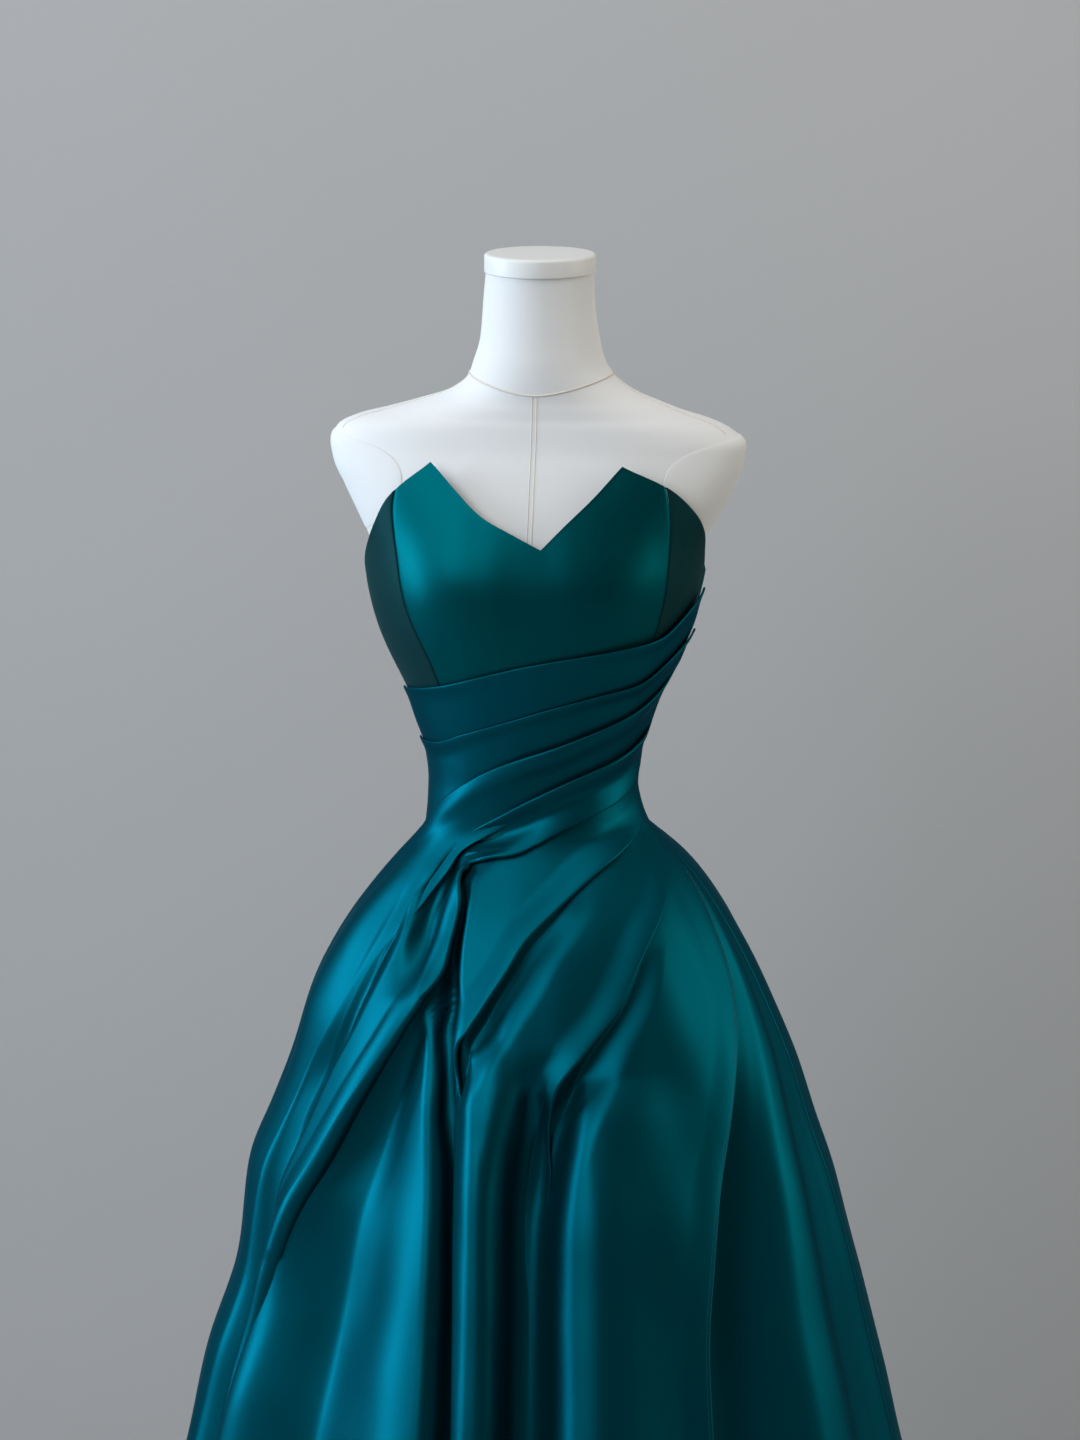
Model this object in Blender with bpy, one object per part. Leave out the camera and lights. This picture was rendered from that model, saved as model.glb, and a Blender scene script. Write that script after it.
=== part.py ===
"""A strapless A-line evening dress in satin, standing on a limbless dress form.

Metres, +Z up. The front of the dress faces -Y and the origin is on the floor, at the middle of the stand's base.
Angles are in degrees round the upright axis: 0 is the centre front, 90 the side at +X,
-90 the side at -X and 180 the centre back. Every cloth piece is a wall on one shared garment surface:
a radius for each angle and height, with the folds pressed into it. A piece's lift is how far its outer face
stands off that surface, along the surface's normal.
"""

from collections import namedtuple

import bpy
import numpy as np

# ---- Driving sizes -------------------------------------------------------------------------------------------

HEM_HEIGHT = 0.008
WAIST_SEAM = 1.018
FORM_BOTTOM = 0.800
NECK_TOP = 1.5285
CAP_TOP = 1.5460
CAP_RADIUS = 0.0505
CAP_EDGE = 0.003
CAP_FOOT = 0.001

BODICE_WALL = 0.0022
CLOTH_WALL = 0.0011
LAYER = 0.0026
EDGE_LAP = 1.4
SEAM_GAP = 0.0003
FORM_CLEARANCE = 0.0013
TUCK = 0.010
# How far along the cloth a band or a stretch takes to come down by one layer.
BAND_EASE = 0.010
LAP_EASE = 0.012
SIDE_SEAM = 84.0

POLE_RADIUS = 0.016
BASE_RADIUS = 0.190
BASE_THICKNESS = 0.012
COLLAR_RADIUS = 0.026
COLLAR_TOP = 0.055
SOCKET_FLOOR = 0.020
BASE_EDGE = 0.004

ZIP_WIDTH = 0.0040
ZIP_BOTTOM = 0.865
ZIP_END = 0.845
ZIP_RECESS = 0.0004
SLIDER_HEIGHT = 1.242
SLIDER_HALF_WIDTH = 0.0032
SLIDER_UP = 0.0040
SLIDER_DOWN = 0.0050
SLIDER_STAND_OFF = 0.0004
SLIDER_THICKNESS = 0.0020
BRIDGE_WIDTH = 0.0014
BRIDGE_INNER = 0.00095
BRIDGE_BAR = 0.0008
PULL_BAR = 0.0008
PULL_AXIS = 0.0009
PULL_LENGTH = 0.0150
PULL_HALF_WIDTH = 0.0028

SQUARENESS = 2.1
BODICE_ROWS = 14
# Points crowd towards the waist by this power.
ROW_CROWDING = 1.3
CROSSING_STEPS = (4, 4, 3, 4, 3, 3, 3, 2, 2, 2, 2, 1, 1)

# ---- Sections of the garment: half-widths and depths in millimetres ------------------------------------------

Section = namedtuple("Section", "height left right front back")

BODICE_SECTIONS = (
    Section(1.018, 103, 100, 90, 88),
    Section(1.040, 100, 93, 87, 81),
    Section(1.060, 99, 89, 86, 79),
    Section(1.090, 103, 93, 89, 81),
    Section(1.120, 112, 102, 95, 85),
    Section(1.150, 123, 114, 103, 89),
    Section(1.180, 139, 129, 112, 93),
    Section(1.217, 153, 142, 119, 96),
    Section(1.262, 161, 153, 122, 99),
    Section(1.280, 162, 155, 119, 99),
    Section(1.300, 169, 163, 114, 98),
    Section(1.340, 185, 181, 100, 93),
    Section(1.380, 197, 193, 81, 86),
)

SKIRT_SECTIONS = (
    Section(0.008, 428, 448, 430, 452),
    Section(0.250, 368, 388, 366, 386),
    Section(0.415, 325, 345, 322, 344),
    Section(0.500, 307, 324, 298, 321),
    Section(0.600, 275, 299, 268, 292),
    Section(0.690, 264, 275, 240, 264),
    Section(0.740, 244, 258, 222, 246),
    Section(0.800, 221, 238, 202, 224),
    Section(0.864, 202, 211, 176, 196),
    Section(0.916, 177, 185, 152, 170),
    Section(0.957, 149, 160, 130, 146),
    Section(0.986, 128, 137, 111, 121),
    Section(1.018, 103, 100, 90, 88),
)

# Two soft cups stand out of the front sections.
CUP_ANGLES = (-34.0, 34.0)
CUP_HEIGHT = 1.256
CUP_SPREAD_DEG = 21.0
CUP_SPREAD_UP = 0.046
CUP_SIZE = 0.008

# ---- Sections of the dress form above and below the part that the bodice hides --------------------------------

FORM_SHOULDERS = (
    Section(1.5285, 49, 49, 47, 47),
    Section(1.5060, 51, 49.5, 48, 48),
    Section(1.4700, 54, 54, 51, 51),
    Section(1.4490, 60, 59, 54, 54),
    Section(1.4330, 66, 70, 55, 58),
    Section(1.4190, 86, 90, 55, 62),
    Section(1.4100, 114, 112, 56, 65),
    Section(1.4020, 143, 134, 57, 67),
    Section(1.3950, 170, 158, 59, 69),
    Section(1.3870, 185, 175, 61, 71),
    Section(1.3740, 191, 187, 65, 75),
    Section(1.3560, 188, 184, 74, 79),
    Section(1.3300, 176, 174, 87, 84),
    Section(1.2980, 161, 156, 100, 87),
    Section(1.2800, 155, 148, 106, 90),
)
FORM_HIPS = (
    Section(0.985, 108, 107, 88, 90),
    Section(0.940, 134, 134, 96, 106),
    Section(0.890, 148, 149, 102, 114),
    Section(0.840, 153, 154, 104, 115),
    Section(0.808, 152, 153, 103, 114),
    Section(0.800, 147, 148, 98, 109),
)
BUST_CLEARANCE = 0.0032
# On a section wider than it is deep the points crowd towards its two ends, up to this much.
FORM_CROWDING = 1.7
# Round the waist the form has a ring between each two sections: from four above the hips to the second of them.
CLOSE_ABOVE_HIPS = 4
PLAIN_AT_FOOT = 4

ARM_PLATE_CENTRE = 1.3380
ARM_PLATE_HALF_HEIGHT = 0.0445
ARM_PLATE_HALF_ANGLE = 28.0
ARM_PLATE_WALL = 0.0011
ARM_PLATE_GAP = 0.0024

# ---- Edges and fold lines: angle round the body and height -----------------------------------------------------

Point = namedtuple("Point", "angle height")

TOP_EDGE = (
    Point(-180, 1.250),
    Point(-130, 1.250),
    Point(-100, 1.251),
    Point(-86, 1.256),
    Point(-77, 1.278),
    Point(-66, 1.310),
    Point(-58, 1.341),
    Point(-49, 1.366),
    Point(-37, 1.345),
    Point(-21, 1.320),
    Point(-8, 1.307),
    Point(5, 1.294),
    Point(15, 1.312),
    Point(32, 1.340),
    Point(46, 1.365),
    Point(58, 1.347),
    Point(68, 1.320),
    Point(76, 1.297),
    Point(86, 1.262),
    Point(100, 1.252),
    Point(130, 1.250),
    Point(180, 1.250),
)
TOP_PEAKS = (-49, 5, 46)

PRINCESS_LEFT = (
    Point(-41, 1.018),
    Point(-43, 1.120),
    Point(-45, 1.180),
    Point(-50.5, 1.228),
    Point(-54.5, 1.275),
    Point(-57, 1.301),
    Point(-58.5, 1.330),
    Point(-58.5, 1.380),
)
PRINCESS_RIGHT = (
    Point(46, 1.018),
    Point(52, 1.120),
    Point(56, 1.200),
    Point(58, 1.262),
    Point(59, 1.300),
    Point(58, 1.380),
)

BAND_UPPER_TOP = (
    Point(-84, 1.147),
    Point(-70, 1.152),
    Point(-45, 1.162),
    Point(-22, 1.176),
    Point(2, 1.189),
    Point(35, 1.201),
    Point(58, 1.209),
    Point(70, 1.226),
    Point(84, 1.248),
)
BAND_LOWER_TOP = (
    Point(-84, 1.100),
    Point(-55, 1.106),
    Point(-35, 1.119),
    Point(-16, 1.131),
    Point(10, 1.147),
    Point(33, 1.159),
    Point(53, 1.168),
    Point(67, 1.186),
    Point(84, 1.210),
)
HIP_FOLD_TOP = (
    Point(-84, 1.006),
    Point(-76, 1.012),
    Point(-66, 1.033),
    Point(-42, 1.066),
    Point(-22, 1.088),
    Point(13, 1.112),
    Point(44, 1.129),
    Point(65, 1.148),
    Point(84, 1.174),
)

# The overskirt: each row crosses it from its outer edge at the left hip to its free edge at the right,
# and the columns are the angles (a) and heights (h) of its six fold lines.
Crossing = namedtuple("Crossing", "hip_a hip_h lip_a lip_h front_a front_h ridge_a ridge_h fall_a fall_h free_a free_h")

OVERSKIRT = (
    Crossing(83, 1.173, 83, 1.120, 83, 1.076, 83, 1.036, 83, 1.021, 83, 1.010),
    Crossing(62, 1.145, 60, 1.100, 60, 1.056, 61, 1.016, 72, 1.000, 78.5, 1.001),
    Crossing(20, 1.116, 22, 1.077, 22, 1.033, 32, 0.991, 57, 0.965, 75, 0.971),
    Crossing(-22, 1.088, -15, 1.045, -9, 1.006, 13, 0.963, 41, 0.925, 72, 0.940),
    Crossing(-64, 1.036, -43, 1.010, -31, 0.999, 1, 0.937, 29, 0.880, 68, 0.893),
    Crossing(-80, 0.987, -49, 0.965, -29, 0.965, -5, 0.911, 19, 0.848, 62, 0.846),
    Crossing(-88, 0.930, -52, 0.918, -29, 0.915, -11, 0.882, 11, 0.814, 56, 0.805),
    Crossing(-89, 0.865, -57, 0.862, -36, 0.858, -16, 0.848, 7.5, 0.778, 50, 0.757),
    Crossing(-89, 0.795, -64, 0.797, -43, 0.806, -17, 0.800, 5, 0.735, 45, 0.712),
    Crossing(-89, 0.720, -68, 0.730, -51, 0.725, -15, 0.735, 4, 0.685, 41, 0.655),
    Crossing(-89, 0.610, -69, 0.615, -59, 0.610, -11, 0.610, 4, 0.595, 37.5, 0.580),
    Crossing(-89, 0.450, -70, 0.450, -64, 0.450, -9, 0.450, 4, 0.450, 35.5, 0.450),
    Crossing(-89, 0.220, -71, 0.220, -65, 0.220, -8, 0.220, 4, 0.220, 34.5, 0.220),
    Crossing(-89, HEM_HEIGHT, -72, HEM_HEIGHT, -65, HEM_HEIGHT, -7, HEM_HEIGHT, 4, HEM_HEIGHT, 34, HEM_HEIGHT),
)

# ---- Folds: where each one runs, its half-width on each side and its depth, in millimetres ---------------------

Fold = namedtuple("Fold", "height angle left right depth")

OVERSKIRT_FOLDS = {
    "behind_hip": (
        Fold(0.985, -49, 8, 8, 0),
        Fold(0.930, -51.5, 9, 9, 7),
        Fold(0.860, -57, 12, 12, 14),
        Fold(0.790, -64, 16, 16, 24),
        Fold(0.700, -68, 19, 19, 30),
        Fold(0.500, -70, 24, 24, 30),
        Fold(0.008, -72, 36, 36, 46),
    ),
    "inside_lip": (
        Fold(1.012, -22, 10, 10, 0),
        Fold(0.985, -35, 13, 13, 7),
        Fold(0.940, -37, 15, 15, 7),
        Fold(0.880, -42, 15, 15, 0),
    ),
    "under_lip": (
        Fold(0.930, -30, 10, 10, 0),
        Fold(0.870, -32, 14, 18, 9),
        Fold(0.800, -36, 25, 38, 26),
        Fold(0.700, -41, 38, 66, 40),
        Fold(0.550, -43, 46, 86, 48),
        Fold(0.008, -46, 80, 140, 74),
    ),
    "front_crease": (
        Fold(0.985, -28, 5, 5, 0),
        Fold(0.950, -28, 8, 8, 9),
        Fold(0.880, -25, 12, 12, 16),
        Fold(0.800, -18, 14, 14, 22),
        Fold(0.680, -13.5, 14, 15, 24),
        Fold(0.450, -10, 18, 20, 28),
        Fold(0.008, -8, 40, 44, 48),
    ),
    "beside_fall": (
        Fold(0.850, 9, 16, 16, 0),
        Fold(0.790, 4, 18, 26, 14),
        Fold(0.700, 1, 20, 38, 30),
        Fold(0.500, 1, 22, 43, 40),
        Fold(0.008, 3, 40, 76, 66),
    ),
    "fall": (
        Fold(0.860, 36, 30, 30, 0),
        Fold(0.760, 30, 36, 36, 4),
        Fold(0.600, 27, 40, 40, 7),
        Fold(0.008, 24, 66, 66, 20),
    ),
}

# Skirt back: the angle of each soft valley at the waist and at the hem, its half-width in degrees, its depth at
# the hem and the height where it starts.
Flute = namedtuple("Flute", "waist hem width depth start")

BACK_FLUTES = (
    Flute(107, 104, 6.5, 40, 0.93),
    Flute(127, 124, 8.0, 54, 0.98),
    Flute(148, 146, 7.0, 46, 0.90),
    Flute(167, 166, 7.5, 56, 0.99),
    Flute(191, 188, 7.0, 50, 0.95),
    Flute(211, 212, 8.5, 58, 0.99),
    Flute(233, 234, 7.0, 42, 0.90),
    Flute(250, 252, 6.0, 46, 0.96),
)

# Underskirt: how deep it lies behind the garment surface, in millimetres, at the left and beside the free edge.
Depth = namedtuple("Depth", "height left right")

UNDERSKIRT_DEPTHS = (
    Depth(0.008, 104, 98),
    Depth(0.450, 78, 70),
    Depth(0.600, 68, 58),
    Depth(0.700, 53, 46),
    Depth(0.750, 43, 36),
    Depth(0.800, 36, 24),
    Depth(0.850, 33, 14),
    Depth(0.900, 27, 9),
    Depth(0.950, 19, 6),
    Depth(0.990, 9, 3),
    Depth(1.018, 0, 0),
)

# The share of that depth from the overskirt's free edge (0) to the side seam (1).
Share = namedtuple("Share", "along part")

UNDERSKIRT_PROFILE = (
    Share(-1.00, 1.00),
    Share(0.00, 0.97),
    Share(0.18, 0.86),
    Share(0.36, 0.42),
    Share(0.52, 0.06),
    Share(0.62, 0.02),
    Share(0.78, 0.22),
    Share(0.90, 0.14),
    Share(1.00, 0.00),
)

# Heights of the gores' rows of points, between the waist seam and the hem.
GORE_HEIGHTS = (0.985, 0.930, 0.865, 0.845, 0.795, 0.720, 0.660, 0.610, 0.530, 0.450, 0.220)

# The left side seam: it is closed at the waist, and the underskirt's edge hangs free inside the overskirt lower down.
SKIRT_SEAM_LEFT = -80.0
SEAM_OPEN_BELOW = 0.890
SEAM_OPENS_OVER = 0.050
SEAM_EASE_DEG = 12.0
UNDERSKIRT_SEAM = (
    Point(52, 1.018),
    Point(46, 0.880),
    Point(34, 0.720),
    Point(24, 0.550),
    Point(20, 0.008),
)

# The heights over which the overskirt's cloth bridges the waist, and the weight of each.
BRIDGE = ((0.0, 1.5), (0.008, 2.0), (0.016, 1.0))

MM = 0.001


# ---- Numbers to curves -----------------------------------------------------------------------------------------


def smooth(places, values, at):
    """A curve through (places, values) with no overshoot, read at the given places."""
    places = np.asarray(places, float)
    values = np.asarray(values, float)
    at = np.clip(np.asarray(at, float), places[0], places[-1])
    gaps = np.diff(places)
    slopes = np.diff(values) / gaps
    tangents = np.empty_like(values)
    tangents[0] = slopes[0]
    tangents[-1] = slopes[-1]
    product = slopes[:-1] * slopes[1:]
    total = slopes[:-1] + slopes[1:]
    tangents[1:-1] = np.where(product > 0, 2.0 * product / np.where(product > 0, total, 1.0), 0.0)
    index = np.clip(np.searchsorted(places, at, side="right") - 1, 0, len(gaps) - 1)
    gap = gaps[index]
    share = (at - places[index]) / gap
    keep = (1.0 + 2.0 * share) * (1.0 - share) ** 2
    lead = share * (1.0 - share) ** 2
    arrive = share**2 * (3.0 - 2.0 * share)
    leave = share**2 * (share - 1.0)
    return (
        keep * values[index]
        + lead * gap * tangents[index]
        + arrive * values[index + 1]
        + leave * gap * tangents[index + 1]
    )


def column(rows, name):
    return [getattr(row, name) for row in rows]


def by_height(rows, name, height):
    """The named column of rows with a height column, read at the given heights."""
    rows = sorted(rows, key=lambda row: row.height)
    return smooth(column(rows, "height"), column(rows, name), height)


def by_angle(rows, angle):
    return smooth(column(rows, "angle"), column(rows, "height"), angle)


def top_edge(angle):
    """The height of the bodice's top edge. It runs smoothly between its peaks and turns sharply at each."""
    angle = np.asarray(angle, float)
    height = np.zeros_like(angle)
    ends = (TOP_EDGE[0].angle,) + TOP_PEAKS + (TOP_EDGE[-1].angle,)
    for start, end in zip(ends[:-1], ends[1:]):
        rows = [row for row in TOP_EDGE if start <= row.angle <= end]
        height = np.where((angle >= start) & (angle <= end), by_angle(rows, angle), height)
    return height


def eased(value):
    """0 below 0, 1 above 1, and a soft step between."""
    value = np.clip(value, 0.0, 1.0)
    return value * value * (3.0 - 2.0 * value)


def valley(distance, width):
    """1 on a fold's line, falling softly to 0 at twice its half-width."""
    return 1.0 - eased(np.abs(distance) / (2.0 * width))


# ---- The garment surface ---------------------------------------------------------------------------------------


def section_radius(rows, angle, height):
    """Radius of a rounded section with its own half-width or depth on each of its four sides."""
    turn = np.radians(angle)
    side = np.where(np.sin(turn) < 0, by_height(rows, "left", height), by_height(rows, "right", height))
    depth = np.where(np.cos(turn) > 0, by_height(rows, "front", height), by_height(rows, "back", height))
    reach = (np.abs(np.cos(turn)) / depth) ** SQUARENESS + (np.abs(np.sin(turn)) / side) ** SQUARENESS
    return MM * reach ** (-1.0 / SQUARENESS)


def cups(angle, height):
    """How far the two cups stand out of the plain sections."""
    up = np.exp(-(((height - CUP_HEIGHT) / CUP_SPREAD_UP) ** 2))
    return CUP_SIZE * up * sum(np.exp(-(((angle - cup) / CUP_SPREAD_DEG) ** 2)) for cup in CUP_ANGLES)


def garment(angle, height):
    """The plain garment surface: bodice above the waist seam and skirt below it."""
    angle, height = np.broadcast_arrays(np.asarray(angle, float), np.asarray(height, float))
    bodice = section_radius(BODICE_SECTIONS, angle, height) + cups(angle, height)
    skirt = section_radius(SKIRT_SECTIONS, angle, height)
    return np.where(height > WAIST_SEAM, bodice, skirt)


def fold_depth(rows, angle, height, radius):
    """How far one fold of the overskirt goes in."""
    side = np.radians(angle - by_height(rows, "angle", height)) * radius
    width = MM * np.where(side < 0, by_height(rows, "left", height), by_height(rows, "right", height))
    depth = MM * by_height(rows, "depth", height)
    depth = np.where(height > max(column(rows, "height")), 0.0, depth)
    depth = np.where(height < min(column(rows, "height")), 0.0, depth)
    return depth * valley(side, width)


def bridged(angle, height):
    """The garment surface, with the overskirt's cloth bridging the hollow of the waist."""
    total = 0.0
    for step, weight in BRIDGE:
        total = total + weight * (garment(angle, height - step) + garment(angle, height + step))
    return total / (2.0 * sum(weight for _, weight in BRIDGE))


def overskirt(angle, height):
    """The garment surface with the overskirt's folds pressed in."""
    radius = bridged(angle, height)
    deepest = 0.0
    for rows in OVERSKIRT_FOLDS.values():
        deepest = deepest + fold_depth(rows, angle, height, radius)
    return radius - deepest


def skirt_back(angle, height):
    """The garment surface with the back's flutes pressed in. Angles run from the right side seam, past 180."""
    radius = garment(angle, height)
    depth = 0.0
    for flute in BACK_FLUTES:
        fall = np.clip((flute.start - height) / (flute.start - HEM_HEIGHT), 0.0, 1.0)
        line = flute.hem + (flute.waist - flute.hem) * np.clip(height / WAIST_SEAM, 0.0, 1.0)
        depth = depth + MM * flute.depth * fall**0.8 * valley(angle - line, flute.width)
    return radius - depth


def free_edge(height):
    """The angle of the overskirt's free edge at a height."""
    edge = [Point(row.free_a, row.free_h) for row in OVERSKIRT]
    return by_height(edge, "angle", height)


def underskirt(angle, height):
    """The underskirt's front: deep behind the overskirt, and out to the side seam in one soft ridge."""
    edge = free_edge(height)
    along = (angle - edge) / (SIDE_SEAM - edge)
    part = smooth(column(UNDERSKIRT_PROFILE, "along"), column(UNDERSKIRT_PROFILE, "part"), along)
    left = by_height(UNDERSKIRT_DEPTHS, "left", height)
    right = by_height(UNDERSKIRT_DEPTHS, "right", height)
    to_right = eased((angle - 12.0) / 24.0)
    from_seam = eased((angle + SIDE_SEAM) / SEAM_EASE_DEG)
    part = part * (1.0 - seam_closed(height) * (1.0 - from_seam))
    return garment(angle, height) - MM * part * (left + (right - left) * to_right)


def seam_closed(height):
    """1 near the waist, where the underskirt meets the back at the left side seam, and 0 where it hangs free."""
    return eased((height - SEAM_OPEN_BELOW) / SEAM_OPENS_OVER)


def underskirt_left_edge(height):
    return -SIDE_SEAM + (SKIRT_SEAM_LEFT + SIDE_SEAM) * (1.0 - seam_closed(height))


def on_surface(surface, angle, height, lift):
    """Points of a surface, moved out along its normal by the lift."""
    angle, height, lift = np.broadcast_arrays(
        np.asarray(angle, float), np.asarray(height, float), np.asarray(lift, float)
    )

    def spot(turn, level):
        radius = surface(turn, level)
        turn = np.radians(turn)
        return np.stack([radius * np.sin(turn), -radius * np.cos(turn), level], axis=-1)

    step_angle = 0.25
    step_height = 0.001
    across = spot(angle + step_angle, height) - spot(angle - step_angle, height)
    upward = spot(angle, height + step_height) - spot(angle, height - step_height)
    normal = np.cross(across, upward)
    normal /= np.linalg.norm(normal, axis=-1, keepdims=True)
    return spot(angle, height) + normal * lift[..., None]


# ---- Meshes ----------------------------------------------------------------------------------------------------


def make_material(name, colour, roughness, metallic=0.0):
    material = bpy.data.materials.new(name)
    material.use_nodes = True
    shader = material.node_tree.nodes["Principled BSDF"]
    shader.inputs["Base Color"].default_value = (*colour, 1.0)
    shader.inputs["Roughness"].default_value = roughness
    shader.inputs["Metallic"].default_value = metallic
    return material


def add_object(name, vertices, faces, material):
    mesh = bpy.data.meshes.new(name)
    mesh.from_pydata([tuple(vertex) for vertex in vertices], [], faces)
    mesh.validate()
    mesh.shade_smooth()
    mesh.set_sharp_from_angle(angle=np.radians(40))
    mesh.materials.append(material)
    item = bpy.data.objects.new(name, mesh)
    bpy.context.scene.collection.objects.link(item)
    return item


def wall(name, outer, inner, material):
    """A closed wall between two grids of points. Rows run down, and columns run towards rising angles."""
    rows, columns = outer.shape[:2]
    vertices = np.concatenate([outer.reshape(-1, 3), inner.reshape(-1, 3)])
    index = np.arange(rows * columns).reshape(rows, columns)
    under = index + rows * columns
    faces = []
    for i in range(rows - 1):
        for j in range(columns - 1):
            faces.append((index[i, j], index[i + 1, j], index[i + 1, j + 1], index[i, j + 1]))
            faces.append((under[i, j], under[i, j + 1], under[i + 1, j + 1], under[i + 1, j]))
    for j in range(columns - 1):
        faces.append((index[0, j], index[0, j + 1], under[0, j + 1], under[0, j]))
        faces.append((index[-1, j], under[-1, j], under[-1, j + 1], index[-1, j + 1]))
    for i in range(rows - 1):
        faces.append((index[i, 0], under[i, 0], under[i + 1, 0], index[i + 1, 0]))
        faces.append((index[i, -1], index[i + 1, -1], under[i + 1, -1], under[i, -1]))
    return add_object(name, vertices, faces, material)


def cloth(name, surface, angle, height, lift, thickness, material):
    outer = on_surface(surface, angle, height, lift)
    inner = on_surface(surface, angle, height, np.asarray(lift) - thickness)
    return wall(name, outer, inner, material)


def turned(name, profile, sides, material):
    """A closed body turned round the upright axis. The profile runs from its lowest point on the axis, outwards
    and up, to its highest point on the axis."""
    turns = np.linspace(0.0, 2.0 * np.pi, sides, endpoint=False)
    rings = profile[1:-1]
    vertices = [(0.0, 0.0, profile[0][1]), (0.0, 0.0, profile[-1][1])]
    for radius, level in rings:
        vertices += [(radius * np.cos(turn), radius * np.sin(turn), level) for turn in turns]
    faces = []
    for side in range(sides):
        after = (side + 1) % sides
        faces.append((0, 2 + after, 2 + side))
        last = 2 + (len(rings) - 1) * sides
        faces.append((1, last + side, last + after))
        for ring in range(len(rings) - 1):
            start = 2 + ring * sides
            faces.append((start + side, start + after, start + sides + after, start + sides + side))
    return add_object(name, vertices, faces, material)


def shares(count):
    return np.linspace(0.0, 1.0, count)


# ---- The dress form --------------------------------------------------------------------------------------------


def form_sections():
    """The form's sections from the neck down: shoulders, then the bodice's inside, then hips."""
    inside = []
    for row in BODICE_SECTIONS[::-1]:
        if 1.03 < row.height < 1.27:
            spare = FORM_CLEARANCE + (BUST_CLEARANCE - FORM_CLEARANCE) * eased((row.height - 1.10) / 0.14)
            less = (BODICE_WALL + spare) / MM
            inside.append(Section(row.height, row.left - less, row.right - less, row.front - less, row.back - less))
    return FORM_SHOULDERS + tuple(inside) + FORM_HIPS


def form_points(section, angles, lift=0.0):
    """Points on one section of the form. Cups stand out of it as they do in the bodice."""
    radius = section_radius((section, section._replace(height=section.height + 1.0)), angles, section.height)
    radius = radius + cups(angles, section.height) + lift
    turn = np.radians(angles)
    return np.stack([radius * np.sin(turn), -radius * np.cos(turn), np.full_like(radius, section.height)], axis=-1)


def form_section(place):
    """The form's section at a place counted along its table of sections, from 0 at the neck."""
    sections = form_sections()
    return Section(*(float(smooth(range(len(sections)), column(sections, name), place)) for name in Section._fields))


def form_section_at(height):
    """The form's section at a height in the arm plates' reach."""
    places = np.linspace(len(FORM_SHOULDERS) - 1, 0, 400)
    heights = smooth(range(len(FORM_SHOULDERS)), column(FORM_SHOULDERS, "height"), places)
    return form_section(np.interp(height, heights, places))._replace(height=height)


def make_form_torso(material):
    sides = 32
    turn = np.arange(sides) * 2.0 * np.pi / sides

    def ring_at(place):
        section = form_section(place)
        flat = min((section.left + section.right) / (section.front + section.back), FORM_CROWDING)
        angles = np.degrees(np.arctan2(max(flat, 1.0) * np.sin(turn), np.cos(turn)))
        return form_points(section, angles)

    last = len(form_sections()) - 1
    close = last - len(FORM_HIPS) - CLOSE_ABOVE_HIPS
    plain = last - PLAIN_AT_FOOT
    places = np.concatenate([np.arange(close), np.arange(close, plain, 0.5), np.arange(plain, last + 1)])
    rings = [ring_at(place) for place in places]
    vertices = [point for ring in rings for point in ring]
    vertices += [(0.0, 0.0, NECK_TOP), (0.0, 0.0, FORM_BOTTOM)]
    top = len(vertices) - 2
    faces = []
    for side in range(sides):
        after = (side + 1) % sides
        faces.append((top, side, after))
        last = (len(rings) - 1) * sides
        faces.append((top + 1, last + after, last + side))
        for ring in range(len(rings) - 1):
            start = ring * sides
            faces.append((start + side, start + sides + side, start + sides + after, start + after))
    return add_object("form_torso", vertices, faces, material)


def make_neck_cap(material):
    bottom = NECK_TOP + SEAM_GAP
    profile = [
        (0.0, bottom),
        (CAP_RADIUS - CAP_FOOT, bottom),
        (CAP_RADIUS, bottom + CAP_FOOT),
        (CAP_RADIUS, CAP_TOP - CAP_EDGE),
    ]
    for turn in np.radians((30.0, 60.0, 90.0)):
        profile.append((CAP_RADIUS - CAP_EDGE * (1.0 - np.cos(turn)), CAP_TOP - CAP_EDGE * (1.0 - np.sin(turn))))
    profile.append((0.0, CAP_TOP))
    return turned("form_neck_cap", profile, 28, material)


def make_arm_plate(name, side, material):
    """A rounded plate over the form's closed arm end, made from the form's own points, moved out."""
    spokes = 20
    turns = np.arange(spokes) * 2.0 * np.pi / spokes
    rings = (0.22, 0.44, 0.64, 0.83, 1.0)

    def layer(lift):
        points = []
        for ring in (0.0,) + rings:
            for turn in turns[: 1 if ring == 0.0 else spokes]:
                height = ARM_PLATE_CENTRE + ARM_PLATE_HALF_HEIGHT * ring * np.sin(turn)
                angle = side * (90.0 + ARM_PLATE_HALF_ANGLE * ring * np.cos(turn))
                section = form_section_at(height)
                points.append(form_points(section, np.array([angle]), lift)[0])
        return points

    outer = layer(ARM_PLATE_GAP + ARM_PLATE_WALL)
    inner = layer(ARM_PLATE_GAP)
    count = len(outer)
    faces = []
    for spoke in range(spokes):
        after = (spoke + 1) % spokes
        faces.append((0, 1 + spoke, 1 + after))
        faces.append((count, count + 1 + after, count + 1 + spoke))
        for ring in range(len(rings) - 1):
            start = 1 + ring * spokes
            faces.append((start + spoke, start + spokes + spoke, start + spokes + after, start + after))
            low = count + start
            faces.append((low + spoke, low + after, low + spokes + after, low + spokes + spoke))
        rim = 1 + (len(rings) - 1) * spokes
        faces.append((rim + spoke, count + rim + spoke, count + rim + after, rim + after))
    if side < 0:
        faces = [face[::-1] for face in faces]
    return add_object(name, outer + inner, faces, material)


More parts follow.
